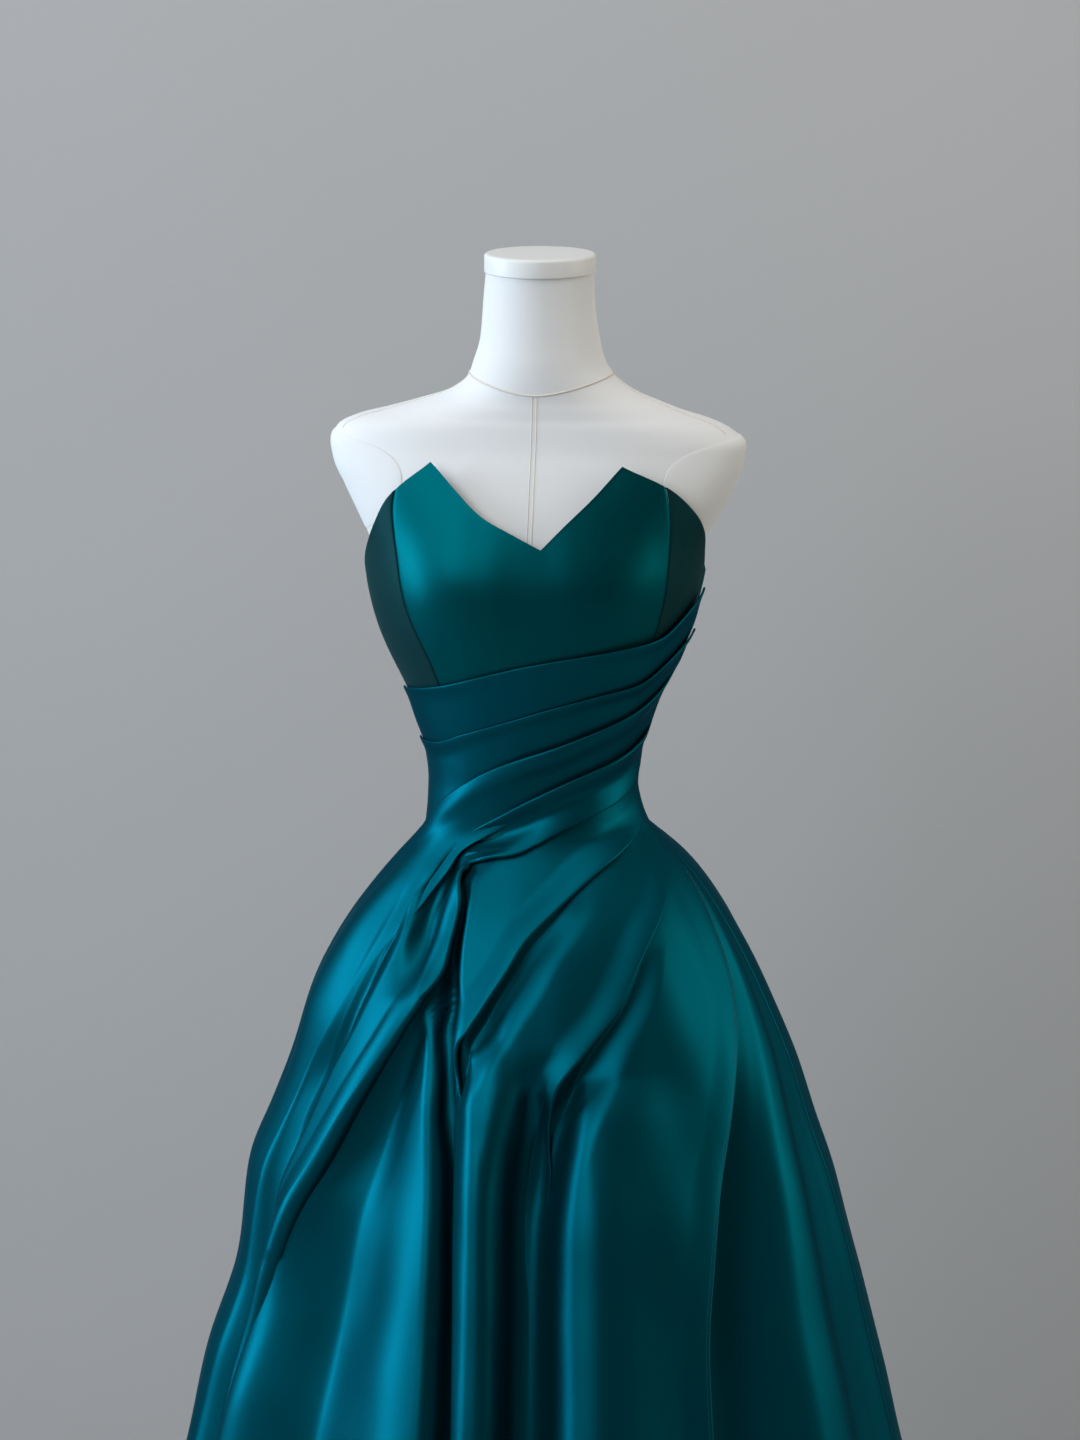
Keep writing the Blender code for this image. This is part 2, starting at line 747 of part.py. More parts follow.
def make_stand(pole_material, base_material):
    profile = [
        (0.0, 0.0),
        (BASE_RADIUS - 0.002, 0.0),
        (BASE_RADIUS, 0.003),
        (BASE_RADIUS, BASE_THICKNESS - BASE_EDGE),
        (BASE_RADIUS - BASE_EDGE, BASE_THICKNESS),
        (COLLAR_RADIUS + 0.006, BASE_THICKNESS + 0.003),
        (COLLAR_RADIUS, BASE_THICKNESS + 0.009),
        (COLLAR_RADIUS, COLLAR_TOP - 0.002),
        (COLLAR_RADIUS - 0.002, COLLAR_TOP),
        (POLE_RADIUS + SEAM_GAP, COLLAR_TOP),
        (POLE_RADIUS + SEAM_GAP, SOCKET_FLOOR),
        (0.0, SOCKET_FLOOR),
    ]
    turned("stand_base", profile, 28, base_material)
    foot = SOCKET_FLOOR + SEAM_GAP
    head = FORM_BOTTOM - SEAM_GAP
    turned("stand_pole", [(0.0, foot), (POLE_RADIUS, foot), (POLE_RADIUS, head), (0.0, head)], 24, pole_material)


# ---- The bodice ------------------------------------------------------------------------------------------------


def seam_shift(height):
    """Half a seam's gap, in degrees, at the bodice's mean radius."""
    return np.degrees(0.5 * SEAM_GAP / 0.10) * np.ones_like(height)


def bodice_panel(name, left_edge, right_edge, columns, material, marks=()):
    """A panel between two upright edges, from the waist seam to the top edge. Each edge is a function that gives
    its angle at a height. The marks are angles that a column passes through at the top."""
    across = shares(columns)
    down = 1.0 - (1.0 - shares(BODICE_ROWS)[:, None]) ** ROW_CROWDING
    top = top_edge(np.linspace(left_edge(1.30), right_edge(1.30), columns))
    for _ in range(4):
        start = left_edge(top[0])
        end = right_edge(top[-1])
        places = start + (end - start) * across
        for mark in marks:
            places[np.argmin(np.abs(places - mark))] = mark
        top = top_edge(places)
    part = (places - start) / (end - start)
    height = top[None, :] + (WAIST_SEAM + SEAM_GAP - top[None, :]) * down
    left = left_edge(height) + seam_shift(height)
    right = right_edge(height) - seam_shift(height)
    angle = left + (right - left) * part[None, :]
    return cloth(name, garment, angle, height, 0.0, BODICE_WALL, material)


def make_bodice(material, side_material):
    def line(rows):
        return lambda height: by_height(rows, "angle", height)

    left = line(PRINCESS_LEFT)
    right = line(PRINCESS_RIGHT)
    bodice_panel("bodice_front", left, right, 20, material, TOP_PEAKS)
    bodice_panel("bodice_side_left", upright(-SIDE_SEAM), left, 7, side_material)
    bodice_panel("bodice_side_right", right, upright(SIDE_SEAM), 7, side_material)
    bodice_panel("bodice_back_left", zip_side(-1), upright(-SIDE_SEAM), 12, material)
    bodice_panel("bodice_back_right", upright(SIDE_SEAM), zip_side(1), 12, material)


def zip_side(sign):
    """The edge beside the zip's chain as an angle for each height. Below the zip it closes on the centre back."""

    def edge(height):
        half = 0.5 * ZIP_WIDTH * eased((height - ZIP_END) / (ZIP_BOTTOM - ZIP_END))
        return sign * (180.0 - np.degrees(half / garment(180.0, height)))

    return edge


def band(name, top_rows, bottom, lap, columns, rows, material):
    """A pleat band from side seam to side seam. Its top edge laps over the layer above it by the lap, and it
    lies one layer lower from there down."""
    angle = np.linspace(-SIDE_SEAM, SIDE_SEAM - 1.5, columns)[None, :]
    top = by_angle(top_rows, angle)
    down = shares(rows)[:, None] ** ROW_CROWDING
    height = top + (bottom(angle) - top) * down
    lift = LAYER * (1.0 + lap * (1.0 - eased((top - height - TUCK) / BAND_EASE)))
    return cloth(name, garment, angle, height, lift, CLOTH_WALL, material)


def make_bands(material):
    def under_lower_band(angle):
        return by_angle(BAND_LOWER_TOP, angle) - TUCK

    def under_hip_fold(angle):
        return np.maximum(by_angle(HIP_FOLD_TOP, angle) - TUCK, WAIST_SEAM - 0.004)

    band("pleat_band_upper", BAND_UPPER_TOP, under_lower_band, 0.0, 27, 5, material)
    band("pleat_band_lower", BAND_LOWER_TOP, under_hip_fold, 1.0, 27, 6, material)


# ---- The skirt -------------------------------------------------------------------------------------------------


def fold_line(name, along):
    """A fold line of the overskirt, from the side seam to the hem, as angles and heights."""
    places = np.arange(len(OVERSKIRT))
    angle = smooth(places, column(OVERSKIRT, name + "_a"), along)
    height = smooth(places, column(OVERSKIRT, name + "_h"), along)
    return angle, height


def stretch(name, first, second, laps, tucks, across, material):
    """One stretch of the overskirt between two fold lines. A lap lifts that edge over its neighbour by a layer,
    and a tuck runs on under the neighbour."""
    along = np.concatenate([place + np.arange(steps) / steps for place, steps in enumerate(CROSSING_STEPS)])
    along = np.append(along, len(OVERSKIRT) - 1.0)[:, None]
    angle_a, height_a = fold_line(first, along)
    angle_b, height_b = fold_line(second, along)
    radius = garment(0.5 * (angle_a + angle_b), 0.5 * (height_a + height_b))
    wide = np.hypot(np.radians(angle_b - angle_a) * radius, height_b - height_a)
    share = np.asarray(across)[None, :]
    tuck = TUCK / wide
    share = np.where(share < 0.0, share * tuck * tucks[0], share)
    share = np.where(share > 1.0, 1.0 + (share - 1.0) * tuck * tucks[1], share)
    angle = angle_a + (angle_b - angle_a) * share
    height = height_a + (height_b - height_a) * share
    height = np.maximum(height, HEM_HEIGHT)
    near_first = 1.0 - eased((share * wide - TUCK) / LAP_EASE)
    near_second = 1.0 - eased(((1.0 - share) * wide - TUCK) / LAP_EASE)
    lift = LAYER * (1.0 + np.maximum(laps[0] * near_first, laps[1] * near_second))
    return cloth(name, overskirt, angle, height, lift, CLOTH_WALL, material)


def make_overskirt(material):
    even = tuple(shares(6))
    fine = tuple(shares(9))
    stretch("drape_hip", "hip", "lip", (EDGE_LAP, 0), (0, 1), even + (2.0,), material)
    stretch("drape_lip", "lip", "front", (EDGE_LAP, EDGE_LAP), (0, 0), even, material)
    stretch("drape_front", "front", "ridge", (0, EDGE_LAP), (1, 0), (-1.0,) + fine, material)
    stretch("drape_ridge", "ridge", "fall", (0, EDGE_LAP), (1, 0), (-1.0,) + even, material)
    stretch("drape_fall", "fall", "free", (0, 0), (1, 0), (-1.0,) + even, material)


def upright(angle):
    return lambda height: angle + 0.0 * np.asarray(height)


def gore(name, surface, left_edge, right_edge, columns, material):
    """A gore of the skirt between two seams, from just under the waist seam to the hem."""
    height = np.array((WAIST_SEAM - SEAM_GAP,) + GORE_HEIGHTS + (HEM_HEIGHT,))[:, None]
    shift = np.degrees(0.5 * SEAM_GAP / garment(0.0, height))
    left = left_edge(height) + shift
    right = right_edge(height) - shift
    angle = left + (right - left) * shares(columns)[None, :]
    return cloth(name, surface, angle, height, 0.0, CLOTH_WALL, material)


def make_skirt(under_material, back_material):
    def seam(height):
        return by_height(UNDERSKIRT_SEAM, "angle", height)

    def beyond_zip(height):
        return zip_side(-1)(height) + 360.0

    gore("underskirt_front_left", underskirt, underskirt_left_edge, seam, 11, under_material)
    gore("underskirt_front_right", underskirt, seam, upright(SIDE_SEAM), 13, under_material)
    gore("skirt_back_side_right", skirt_back, upright(SIDE_SEAM), upright(132.0), 12, back_material)
    gore("skirt_back_centre_right", skirt_back, upright(132.0), zip_side(1), 12, back_material)
    gore("skirt_back_centre_left", skirt_back, beyond_zip, upright(228.0), 12, back_material)
    gore("skirt_back_side_left", skirt_back, upright(228.0), upright(360.0 - SIDE_SEAM), 12, back_material)


# ---- The zip ---------------------------------------------------------------------------------------------------


def make_zip_chain(material):
    """The narrow chain between the two back edges, a little below their outer face."""
    half = 0.5 * ZIP_WIDTH - SEAM_GAP
    height = np.linspace(by_angle(TOP_EDGE, 180.0) - 0.001, ZIP_BOTTOM + 0.001, 22)[:, None]
    turn = np.degrees(half / skirt_back(180.0, height))
    angle = 180.0 + turn * np.array([-1.0, 1.0])[None, :]
    cloth("zip_chain", skirt_back, angle, height, -ZIP_RECESS, CLOTH_WALL, material)


def plate_between(name, loops, low, high, place, axis, material):
    """A closed plate. The loops are its outline and, if it has one, a hole with as many points. Each point is
    two lengths across the axis that the plate is thick along ("x" or "y"), from low to high."""
    count = len(loops[0])
    vertices = []
    for level in (low, high):
        for loop in loops:
            for first, second in loop:
                vertices.append((level, first, second) if axis == "x" else (first, level, second))
    top = len(loops) * count
    faces = []
    for number in range(len(loops)):
        start = number * count
        for point in range(count):
            after = (point + 1) % count
            side = (start + point, start + after, top + start + after, top + start + point)
            faces.append(side if number == 0 else side[::-1])
    if len(loops) == 1:
        faces.append(tuple(range(count))[::-1])
        faces.append(tuple(range(top, top + count)))
    else:
        for point in range(count):
            after = (point + 1) % count
            faces.append((point, count + point, count + after, after))
            faces.append((top + point, top + after, top + count + after, top + count + point))
    if axis == "y":
        faces = [face[::-1] for face in faces]
    item = add_object(name, vertices, faces, material)
    item.location = place
    return item


def make_zip_slider(material):
    """The slider on the chain and, over it, the bridge that holds the pull tab."""
    back = float(garment(180.0, SLIDER_HEIGHT))
    place = (0.0, back, SLIDER_HEIGHT)
    face = SLIDER_STAND_OFF + SLIDER_THICKNESS
    side = 0.0006
    outline = [
        (-SLIDER_HALF_WIDTH + side, -SLIDER_DOWN),
        (SLIDER_HALF_WIDTH - side, -SLIDER_DOWN),
        (SLIDER_HALF_WIDTH, -SLIDER_DOWN + 0.001),
        (SLIDER_HALF_WIDTH, SLIDER_UP - 0.002),
        (SLIDER_HALF_WIDTH - 0.0014, SLIDER_UP),
        (-SLIDER_HALF_WIDTH + 0.0014, SLIDER_UP),
        (-SLIDER_HALF_WIDTH, SLIDER_UP - 0.002),
        (-SLIDER_HALF_WIDTH, -SLIDER_DOWN + 0.001),
    ]
    slider = plate_between("zip_slider", [outline], SLIDER_STAND_OFF, face, place, "y", material)
    middle = face + PULL_AXIS
    sunk = face - 0.0003
    turns = np.radians(np.linspace(0.0, 180.0, 9))
    outer = BRIDGE_INNER + BRIDGE_BAR
    arch = [(sunk, outer)] + [(middle + outer * np.sin(turn), outer * np.cos(turn)) for turn in turns]
    arch += [(sunk, -outer), (sunk, -BRIDGE_INNER)]
    arch += [(middle + BRIDGE_INNER * np.sin(turn), BRIDGE_INNER * np.cos(turn)) for turn in turns[::-1]]
    arch += [(sunk, BRIDGE_INNER)]
    arch = arch[::-1]
    half = 0.5 * BRIDGE_WIDTH
    bridge = plate_between("zip_bridge_shape", [arch], -half, half, place, "x", material)
    bridge.hide_render = True
    bridge.display_type = "WIRE"
    union = slider.modifiers.new("bridge", "BOOLEAN")
    union.operation = "UNION"
    union.solver = "EXACT"
    union.object = bridge


def make_zip_pull(material):
    """The pull tab, hanging from the bridge by the bar above its hole. The bar is the hinge's axis."""
    back = float(garment(180.0, SLIDER_HEIGHT))
    middle = back + SLIDER_STAND_OFF + SLIDER_THICKNESS + PULL_AXIS
    half_bar = 0.5 * PULL_BAR
    hole_half = 0.5 * BRIDGE_WIDTH + 0.00035
    hole_end = -(BRIDGE_INNER + BRIDGE_BAR + 0.0006)
    wide = PULL_HALF_WIDTH
    low = -PULL_LENGTH
    outline = [
        (-0.0016, half_bar),
        (0.0016, half_bar),
        (0.0020, -0.0004),
        (0.0021, -0.0030),
        (wide, low + 0.0050),
        (wide - 0.0003, low + 0.0020),
        (0.0012, low),
        (-0.0012, low),
        (-wide + 0.0003, low + 0.0020),
        (-wide, low + 0.0050),
        (-0.0021, -0.0030),
        (-0.0020, -0.0004),
    ]
    hole = [
        (-hole_half + 0.0003, -half_bar),
        (hole_half - 0.0003, -half_bar),
        (hole_half, -half_bar - 0.0003),
        (hole_half, -half_bar - 0.0010),
        (hole_half, hole_end + 0.0003),
        (hole_half - 0.0002, hole_end + 0.0001),
        (hole_half - 0.0004, hole_end),
        (-hole_half + 0.0004, hole_end),
        (-hole_half + 0.0002, hole_end + 0.0001),
        (-hole_half, hole_end + 0.0003),
        (-hole_half, -half_bar - 0.0010),
        (-hole_half, -half_bar - 0.0003),
    ]
    place = (0.0, middle, SLIDER_HEIGHT)
    plate_between("zip_pull", [outline[::-1], hole[::-1]], -half_bar, half_bar, place, "y", material)


# ---- The whole -------------------------------------------------------------------------------------------------


def clear_scene():
    for item in list(bpy.data.objects):
        bpy.data.objects.remove(item, do_unlink=True)


def main():
    clear_scene()
    satin = make_material("satin", (0.0, 0.075, 0.12), 0.38)
    satin_side = make_material("satin_side", (0.004, 0.055, 0.07), 0.45)
    satin_under = make_material("satin_under", (0.0, 0.06, 0.085), 0.4)
    form_cloth = make_material("form_cloth", (0.74, 0.74, 0.72), 0.8)
    cap_finish = make_material("cap_finish", (0.8, 0.8, 0.78), 0.45)
    stand_metal = make_material("stand_metal", (0.75, 0.76, 0.78), 0.25, 1.0)
    zip_tape = make_material("zip_tape", (0.0, 0.05, 0.065), 0.6)
    zip_metal = make_material("zip_metal", (0.03, 0.16, 0.19), 0.3, 0.8)
    make_form_torso(form_cloth)
    make_neck_cap(cap_finish)
    make_arm_plate("form_arm_plate_left", -1, form_cloth)
    make_arm_plate("form_arm_plate_right", 1, form_cloth)
    make_stand(stand_metal, stand_metal)
    make_bodice(satin, satin_side)
    make_bands(satin)
    make_overskirt(satin)
    make_skirt(satin_under, satin_under)
    make_zip_chain(zip_tape)
    make_zip_slider(zip_metal)
    make_zip_pull(zip_metal)


main()
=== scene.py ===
"""The look of the satin evening dress and its dress form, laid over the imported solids.

Metres, +Z up, the dress's front towards -Y. Angles are in degrees round the upright axis, from the front.
The cloth pieces repeat the solids' surfaces as fine shells, with rolled folds, creases and sewing added.
"""

from collections import namedtuple

import bpy
import numpy as np
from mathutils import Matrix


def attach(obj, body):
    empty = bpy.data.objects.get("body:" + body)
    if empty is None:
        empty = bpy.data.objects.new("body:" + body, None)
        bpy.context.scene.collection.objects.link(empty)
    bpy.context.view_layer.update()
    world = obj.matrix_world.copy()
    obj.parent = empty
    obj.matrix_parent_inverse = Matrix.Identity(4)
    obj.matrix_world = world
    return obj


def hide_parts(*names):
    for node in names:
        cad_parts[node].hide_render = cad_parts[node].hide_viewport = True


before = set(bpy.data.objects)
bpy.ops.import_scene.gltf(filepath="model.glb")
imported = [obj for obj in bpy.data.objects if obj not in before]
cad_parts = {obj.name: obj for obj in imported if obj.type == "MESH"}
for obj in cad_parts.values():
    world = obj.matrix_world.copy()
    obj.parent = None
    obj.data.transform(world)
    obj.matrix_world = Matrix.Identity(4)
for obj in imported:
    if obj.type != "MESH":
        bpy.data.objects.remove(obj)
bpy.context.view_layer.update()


def table(kind, *rows):
    """Rows of numbers with the kind's named columns."""
    return tuple(kind(*row) for row in rows)


def tables(kind, groups):
    """The same for each group of tables in a dictionary."""
    return {name: tuple(table(kind, *rows) for rows in group) for name, group in groups.items()}


# ---- Sizes shared with the solids ----

HEM_HEIGHT = 0.008
WAIST_SEAM = 1.018
FORM_BOTTOM = 0.800
NECK_TOP = 1.5285
CAP_TOP = 1.5460
CAP_RADIUS = 0.0505
CAP_EDGE = 0.003

BODICE_WALL = 0.0022
SEAM_GAP = 0.0003
FORM_CLEARANCE = 0.0013
TUCK = 0.010
SIDE_SEAM = 84.0

POLE_RADIUS = 0.016
BASE_RADIUS = 0.190
BASE_THICKNESS = 0.012
COLLAR_RADIUS = 0.026
COLLAR_TOP = 0.055
SOCKET_FLOOR = 0.020
BASE_EDGE = 0.004

ZIP_WIDTH = 0.0040
ZIP_BOTTOM = 0.865
ZIP_END = 0.845
ZIP_RECESS = 0.0004

SQUARENESS = 2.1

# ---- Sections of the garment: half-widths and depths in millimetres ----

Section = namedtuple("Section", "height left right front back")

BODICE_SECTIONS = table(
    Section,
    (1.018, 103, 100, 90, 88), (1.04, 100, 93, 87, 81), (1.06, 99, 89, 86, 79), (1.09, 103, 93, 89, 81),
    (1.12, 112, 102, 95, 85), (1.15, 123, 114, 103, 89), (1.18, 139, 129, 112, 93),
    (1.217, 153, 142, 119, 96), (1.262, 161, 153, 122, 99), (1.28, 162, 155, 119, 99),
    (1.3, 169, 163, 114, 98), (1.34, 185, 181, 100, 93), (1.38, 197, 193, 81, 86),
)

SKIRT_SECTIONS = table(
    Section,
    (0.008, 428, 448, 430, 452), (0.25, 368, 388, 366, 386), (0.415, 325, 345, 322, 344),
    (0.5, 307, 324, 298, 321), (0.6, 275, 299, 268, 292), (0.69, 264, 275, 240, 264),
    (0.74, 244, 258, 222, 246), (0.8, 221, 238, 202, 224), (0.864, 202, 211, 176, 196),
    (0.916, 177, 185, 152, 170), (0.957, 149, 160, 130, 146), (0.986, 128, 137, 111, 121),
    (1.018, 103, 100, 90, 88),
)

# Two soft cups stand out of the front sections.
CUP_ANGLES = (-34.0, 34.0)
CUP_HEIGHT = 1.256
CUP_SPREAD_DEG = 21.0
CUP_SPREAD_UP = 0.046
CUP_SIZE = 0.008

# ---- Sections of the dress form above and below the part that the bodice hides ----

FORM_SHOULDERS = table(
    Section,
    (1.5285, 49, 49, 47, 47), (1.506, 51, 49.5, 48, 48), (1.47, 54, 54, 51, 51),
    (1.449, 60, 59, 54, 54), (1.433, 66, 70, 55, 58), (1.419, 86, 90, 55, 62),
    (1.41, 114, 112, 56, 65), (1.402, 143, 134, 57, 67), (1.395, 170, 158, 59, 69),
    (1.387, 185, 175, 61, 71), (1.374, 191, 187, 65, 75), (1.356, 188, 184, 74, 79),
    (1.33, 176, 174, 87, 84), (1.298, 161, 156, 100, 87), (1.28, 155, 148, 106, 90),
)
FORM_HIPS = table(
    Section,
    (0.985, 108, 107, 88, 90), (0.94, 134, 134, 96, 106), (0.89, 148, 149, 102, 114),
    (0.84, 153, 154, 104, 115), (0.808, 152, 153, 103, 114), (0.8, 147, 148, 98, 109),
)
BUST_CLEARANCE = 0.0032
# On a section wider than it is deep the points crowd towards its two ends, up to this much.
FORM_CROWDING = 1.7

ARM_PLATE_CENTRE = 1.3380
ARM_PLATE_HALF_HEIGHT = 0.0445
ARM_PLATE_HALF_ANGLE = 28.0

# ---- Edges and fold lines: angle round the body and height ----

Point = namedtuple("Point", "angle height")

TOP_EDGE = table(
    Point,
    (-180, 1.25), (-130, 1.25), (-100, 1.251), (-86, 1.256), (-77, 1.278), (-66, 1.31), (-58, 1.341),
    (-49, 1.366), (-37, 1.345), (-21, 1.32), (-8, 1.307), (5, 1.294), (15, 1.312), (32, 1.34),
    (46, 1.365), (58, 1.347), (68, 1.32), (76, 1.297), (86, 1.262), (100, 1.252), (130, 1.25),
    (180, 1.25),
)
TOP_PEAKS = (-49, 5, 46)

PRINCESS_LEFT = table(
    Point,
    (-41, 1.018), (-43, 1.12), (-45, 1.18), (-50.5, 1.228), (-54.5, 1.275), (-57, 1.301), (-58.5, 1.33),
    (-58.5, 1.38),
)
PRINCESS_RIGHT = table(
    Point,
    (46, 1.018), (52, 1.12), (56, 1.2), (58, 1.262), (59, 1.3), (58, 1.38),
)

BAND_UPPER_TOP = table(
    Point,
    (-84, 1.147), (-70, 1.152), (-45, 1.162), (-22, 1.176), (2, 1.189), (35, 1.201), (58, 1.209),
    (70, 1.226), (84, 1.248),
)
BAND_LOWER_TOP = table(
    Point,
    (-84, 1.1), (-55, 1.106), (-35, 1.119), (-16, 1.131), (10, 1.147), (33, 1.159), (53, 1.168),
    (67, 1.186), (84, 1.21),
)
HIP_FOLD_TOP = table(
    Point,
    (-84, 1.006), (-76, 1.012), (-66, 1.033), (-42, 1.066), (-22, 1.088), (13, 1.112), (44, 1.129),
    (65, 1.148), (84, 1.174),
)

# The overskirt: each row crosses it from its outer edge at the left hip to its free edge at the right,
# and the columns are the angles (a) and heights (h) of its six fold lines.
FOLD_LINES = ("hip", "lip", "front", "ridge", "fall", "free")
Crossing = namedtuple("Crossing", [line + kind for line in FOLD_LINES for kind in ("_a", "_h")])

OVERSKIRT = table(
    Crossing,
    (83, 1.173, 83, 1.12, 83, 1.076, 83, 1.036, 83, 1.021, 83, 1.01),
    (62, 1.145, 60, 1.1, 60, 1.056, 61, 1.016, 72, 1, 78.5, 1.001),
    (20, 1.116, 22, 1.077, 22, 1.033, 32, 0.991, 57, 0.965, 75, 0.971),
    (-22, 1.088, -15, 1.045, -9, 1.006, 13, 0.963, 41, 0.925, 72, 0.94),
    (-64, 1.036, -43, 1.01, -31, 0.999, 1, 0.937, 29, 0.88, 68, 0.893),
    (-80, 0.987, -49, 0.965, -29, 0.965, -5, 0.911, 19, 0.848, 62, 0.846),
    (-88, 0.93, -52, 0.918, -29, 0.915, -11, 0.882, 11, 0.814, 56, 0.805),
    (-89, 0.865, -57, 0.862, -36, 0.858, -16, 0.848, 7.5, 0.778, 50, 0.757),
    (-89, 0.795, -64, 0.797, -43, 0.806, -17, 0.8, 5, 0.735, 45, 0.712),
    (-89, 0.72, -68, 0.73, -51, 0.725, -15, 0.735, 4, 0.685, 41, 0.655),
    (-89, 0.61, -69, 0.615, -59, 0.61, -11, 0.61, 4, 0.595, 37.5, 0.58),
    (-89, 0.45, -70, 0.45, -64, 0.45, -9, 0.45, 4, 0.45, 35.5, 0.45),
    (-89, 0.22, -71, 0.22, -65, 0.22, -8, 0.22, 4, 0.22, 34.5, 0.22),
    (-89, HEM_HEIGHT, -72, HEM_HEIGHT, -65, HEM_HEIGHT, -7, HEM_HEIGHT, 4, HEM_HEIGHT, 34, HEM_HEIGHT),
)

# ---- Folds: where each one runs, its half-width on each side and its depth, in millimetres ----

Fold = namedtuple("Fold", "height angle left right depth")

OVERSKIRT_FOLDS = (
    # Behind the hip fold.
    (
        (0.985, -49, 8, 8, 0), (0.93, -51.5, 9, 9, 7), (0.86, -57, 12, 12, 14),
        (0.79, -64, 16, 16, 24), (0.7, -68, 19, 19, 30), (0.5, -70, 24, 24, 30),
        (0.008, -72, 36, 36, 46),
    ),
    # Inside the lip.
    (
        (1.012, -22, 10, 10, 0), (0.985, -35, 13, 13, 7), (0.94, -37, 15, 15, 7),
        (0.88, -42, 15, 15, 0),
    ),
    # Under the lip.
    (
        (0.93, -30, 10, 10, 0), (0.87, -32, 14, 18, 9), (0.8, -36, 25, 38, 26),
        (0.7, -41, 38, 66, 40), (0.55, -43, 46, 86, 48), (0.008, -46, 80, 140, 74),
    ),
    # The front crease.
    (
        (0.985, -28, 5, 5, 0), (0.95, -28, 8, 8, 9), (0.88, -25, 12, 12, 16),
        (0.8, -18, 14, 14, 22), (0.68, -13.5, 14, 15, 24), (0.45, -10, 18, 20, 28),
        (0.008, -8, 40, 44, 48),
    ),
    # Beside the fall.
    (
        (0.85, 9, 16, 16, 0), (0.79, 4, 18, 26, 14), (0.7, 1, 20, 38, 30), (0.5, 1, 22, 43, 40),
        (0.008, 3, 40, 76, 66),
    ),
    # Down the fall.
    (
        (0.86, 36, 30, 30, 0), (0.76, 30, 36, 36, 4), (0.6, 27, 40, 40, 7), (0.008, 24, 66, 66, 20),
    ),
)

# Skirt back: each soft valley's angle at the waist and at the hem, its half-width in degrees, its depth at
# the hem and the height where it starts.
Flute = namedtuple("Flute", "waist hem width depth start")

BACK_FLUTES = table(
    Flute,
    (107, 104, 6.5, 40, 0.93), (127, 124, 8, 54, 0.98), (148, 146, 7, 46, 0.9),
    (167, 166, 7.5, 56, 0.99), (191, 188, 7, 50, 0.95), (211, 212, 8.5, 58, 0.99),
    (233, 234, 7, 42, 0.9), (250, 252, 6, 46, 0.96),
)

# Underskirt: how deep it lies behind the garment surface, in mm, at the left and beside the free edge.
Depth = namedtuple("Depth", "height left right")

UNDERSKIRT_DEPTHS = table(
    Depth,
    (0.008, 104, 98), (0.45, 78, 70), (0.6, 68, 58), (0.7, 53, 46), (0.75, 43, 36), (0.8, 36, 24),
    (0.85, 33, 14), (0.9, 27, 9), (0.95, 19, 6), (0.99, 9, 3), (1.018, 0, 0),
)

# The share of that depth from the overskirt's free edge (0) to the side seam (1).
Share = namedtuple("Share", "along part")

UNDERSKIRT_PROFILE = table(
    Share,
    (-1, 1), (0, 0.97), (0.18, 0.86), (0.36, 0.42), (0.52, 0.06), (0.62, 0.02), (0.78, 0.22),
    (0.9, 0.14), (1, 0),
)


# The left side seam: closed at the waist, the underskirt's edge hanging free inside the overskirt below.
SKIRT_SEAM_LEFT = -80.0
SEAM_OPEN_BELOW = 0.890
SEAM_OPENS_OVER = 0.050
SEAM_EASE_DEG = 12.0
UNDERSKIRT_SEAM = table(
    Point,
    (52, 1.018), (46, 0.88), (34, 0.72), (24, 0.55), (20, 0.008),
)

# The heights over which the overskirt's cloth bridges the waist, and the weight of each.
BRIDGE = ((0.0, 1.5), (0.008, 2.0), (0.016, 1.0))

MM = 0.001


# ---- Numbers to curves ----


def smooth(places, values, at):
    """A curve through (places, values) with no overshoot, read at the given places."""
    places = np.asarray(places, float)
    values = np.asarray(values, float)
    at = np.clip(np.asarray(at, float), places[0], places[-1])
    gaps = np.diff(places)
    slopes = np.diff(values) / gaps
    tangents = np.empty_like(values)
    tangents[0] = slopes[0]
    tangents[-1] = slopes[-1]
    product = slopes[:-1] * slopes[1:]
    total = slopes[:-1] + slopes[1:]
    tangents[1:-1] = np.where(product > 0, 2.0 * product / np.where(product > 0, total, 1.0), 0.0)
    index = np.clip(np.searchsorted(places, at, side="right") - 1, 0, len(gaps) - 1)
    gap = gaps[index]
    share = (at - places[index]) / gap
    keep = (1.0 + 2.0 * share) * (1.0 - share) ** 2
    lead = share * (1.0 - share) ** 2
    arrive = share**2 * (3.0 - 2.0 * share)
    leave = share**2 * (share - 1.0)
    return (
        keep * values[index]
        + lead * gap * tangents[index]
        + arrive * values[index + 1]
        + leave * gap * tangents[index + 1]
    )


def column(rows, name):
    return [getattr(row, name) for row in rows]


def by_height(rows, name, height):
    """The named column of rows with a height column, read at the given heights."""
    rows = sorted(rows, key=lambda row: row.height)
    return smooth(column(rows, "height"), column(rows, name), height)


def by_angle(rows, angle):
    return smooth(column(rows, "angle"), column(rows, "height"), angle)


def top_edge(angle):
    """The height of the bodice's top edge. It runs smoothly between its peaks and turns sharply at each."""
    angle = np.asarray(angle, float)
    height = np.zeros_like(angle)
    ends = (TOP_EDGE[0].angle,) + TOP_PEAKS + (TOP_EDGE[-1].angle,)
    for start, end in zip(ends[:-1], ends[1:]):
        rows = [row for row in TOP_EDGE if start <= row.angle <= end]
        height = np.where((angle >= start) & (angle <= end), by_angle(rows, angle), height)
    return height


def eased(value):
    """0 below 0, 1 above 1, and a soft step between."""
    value = np.clip(value, 0.0, 1.0)
    return value * value * (3.0 - 2.0 * value)


def valley(distance, width):
    """1 on a fold's line, falling softly to 0 at twice its half-width."""
    return 1.0 - eased(np.abs(distance) / (2.0 * width))


# ---- The garment surface ----


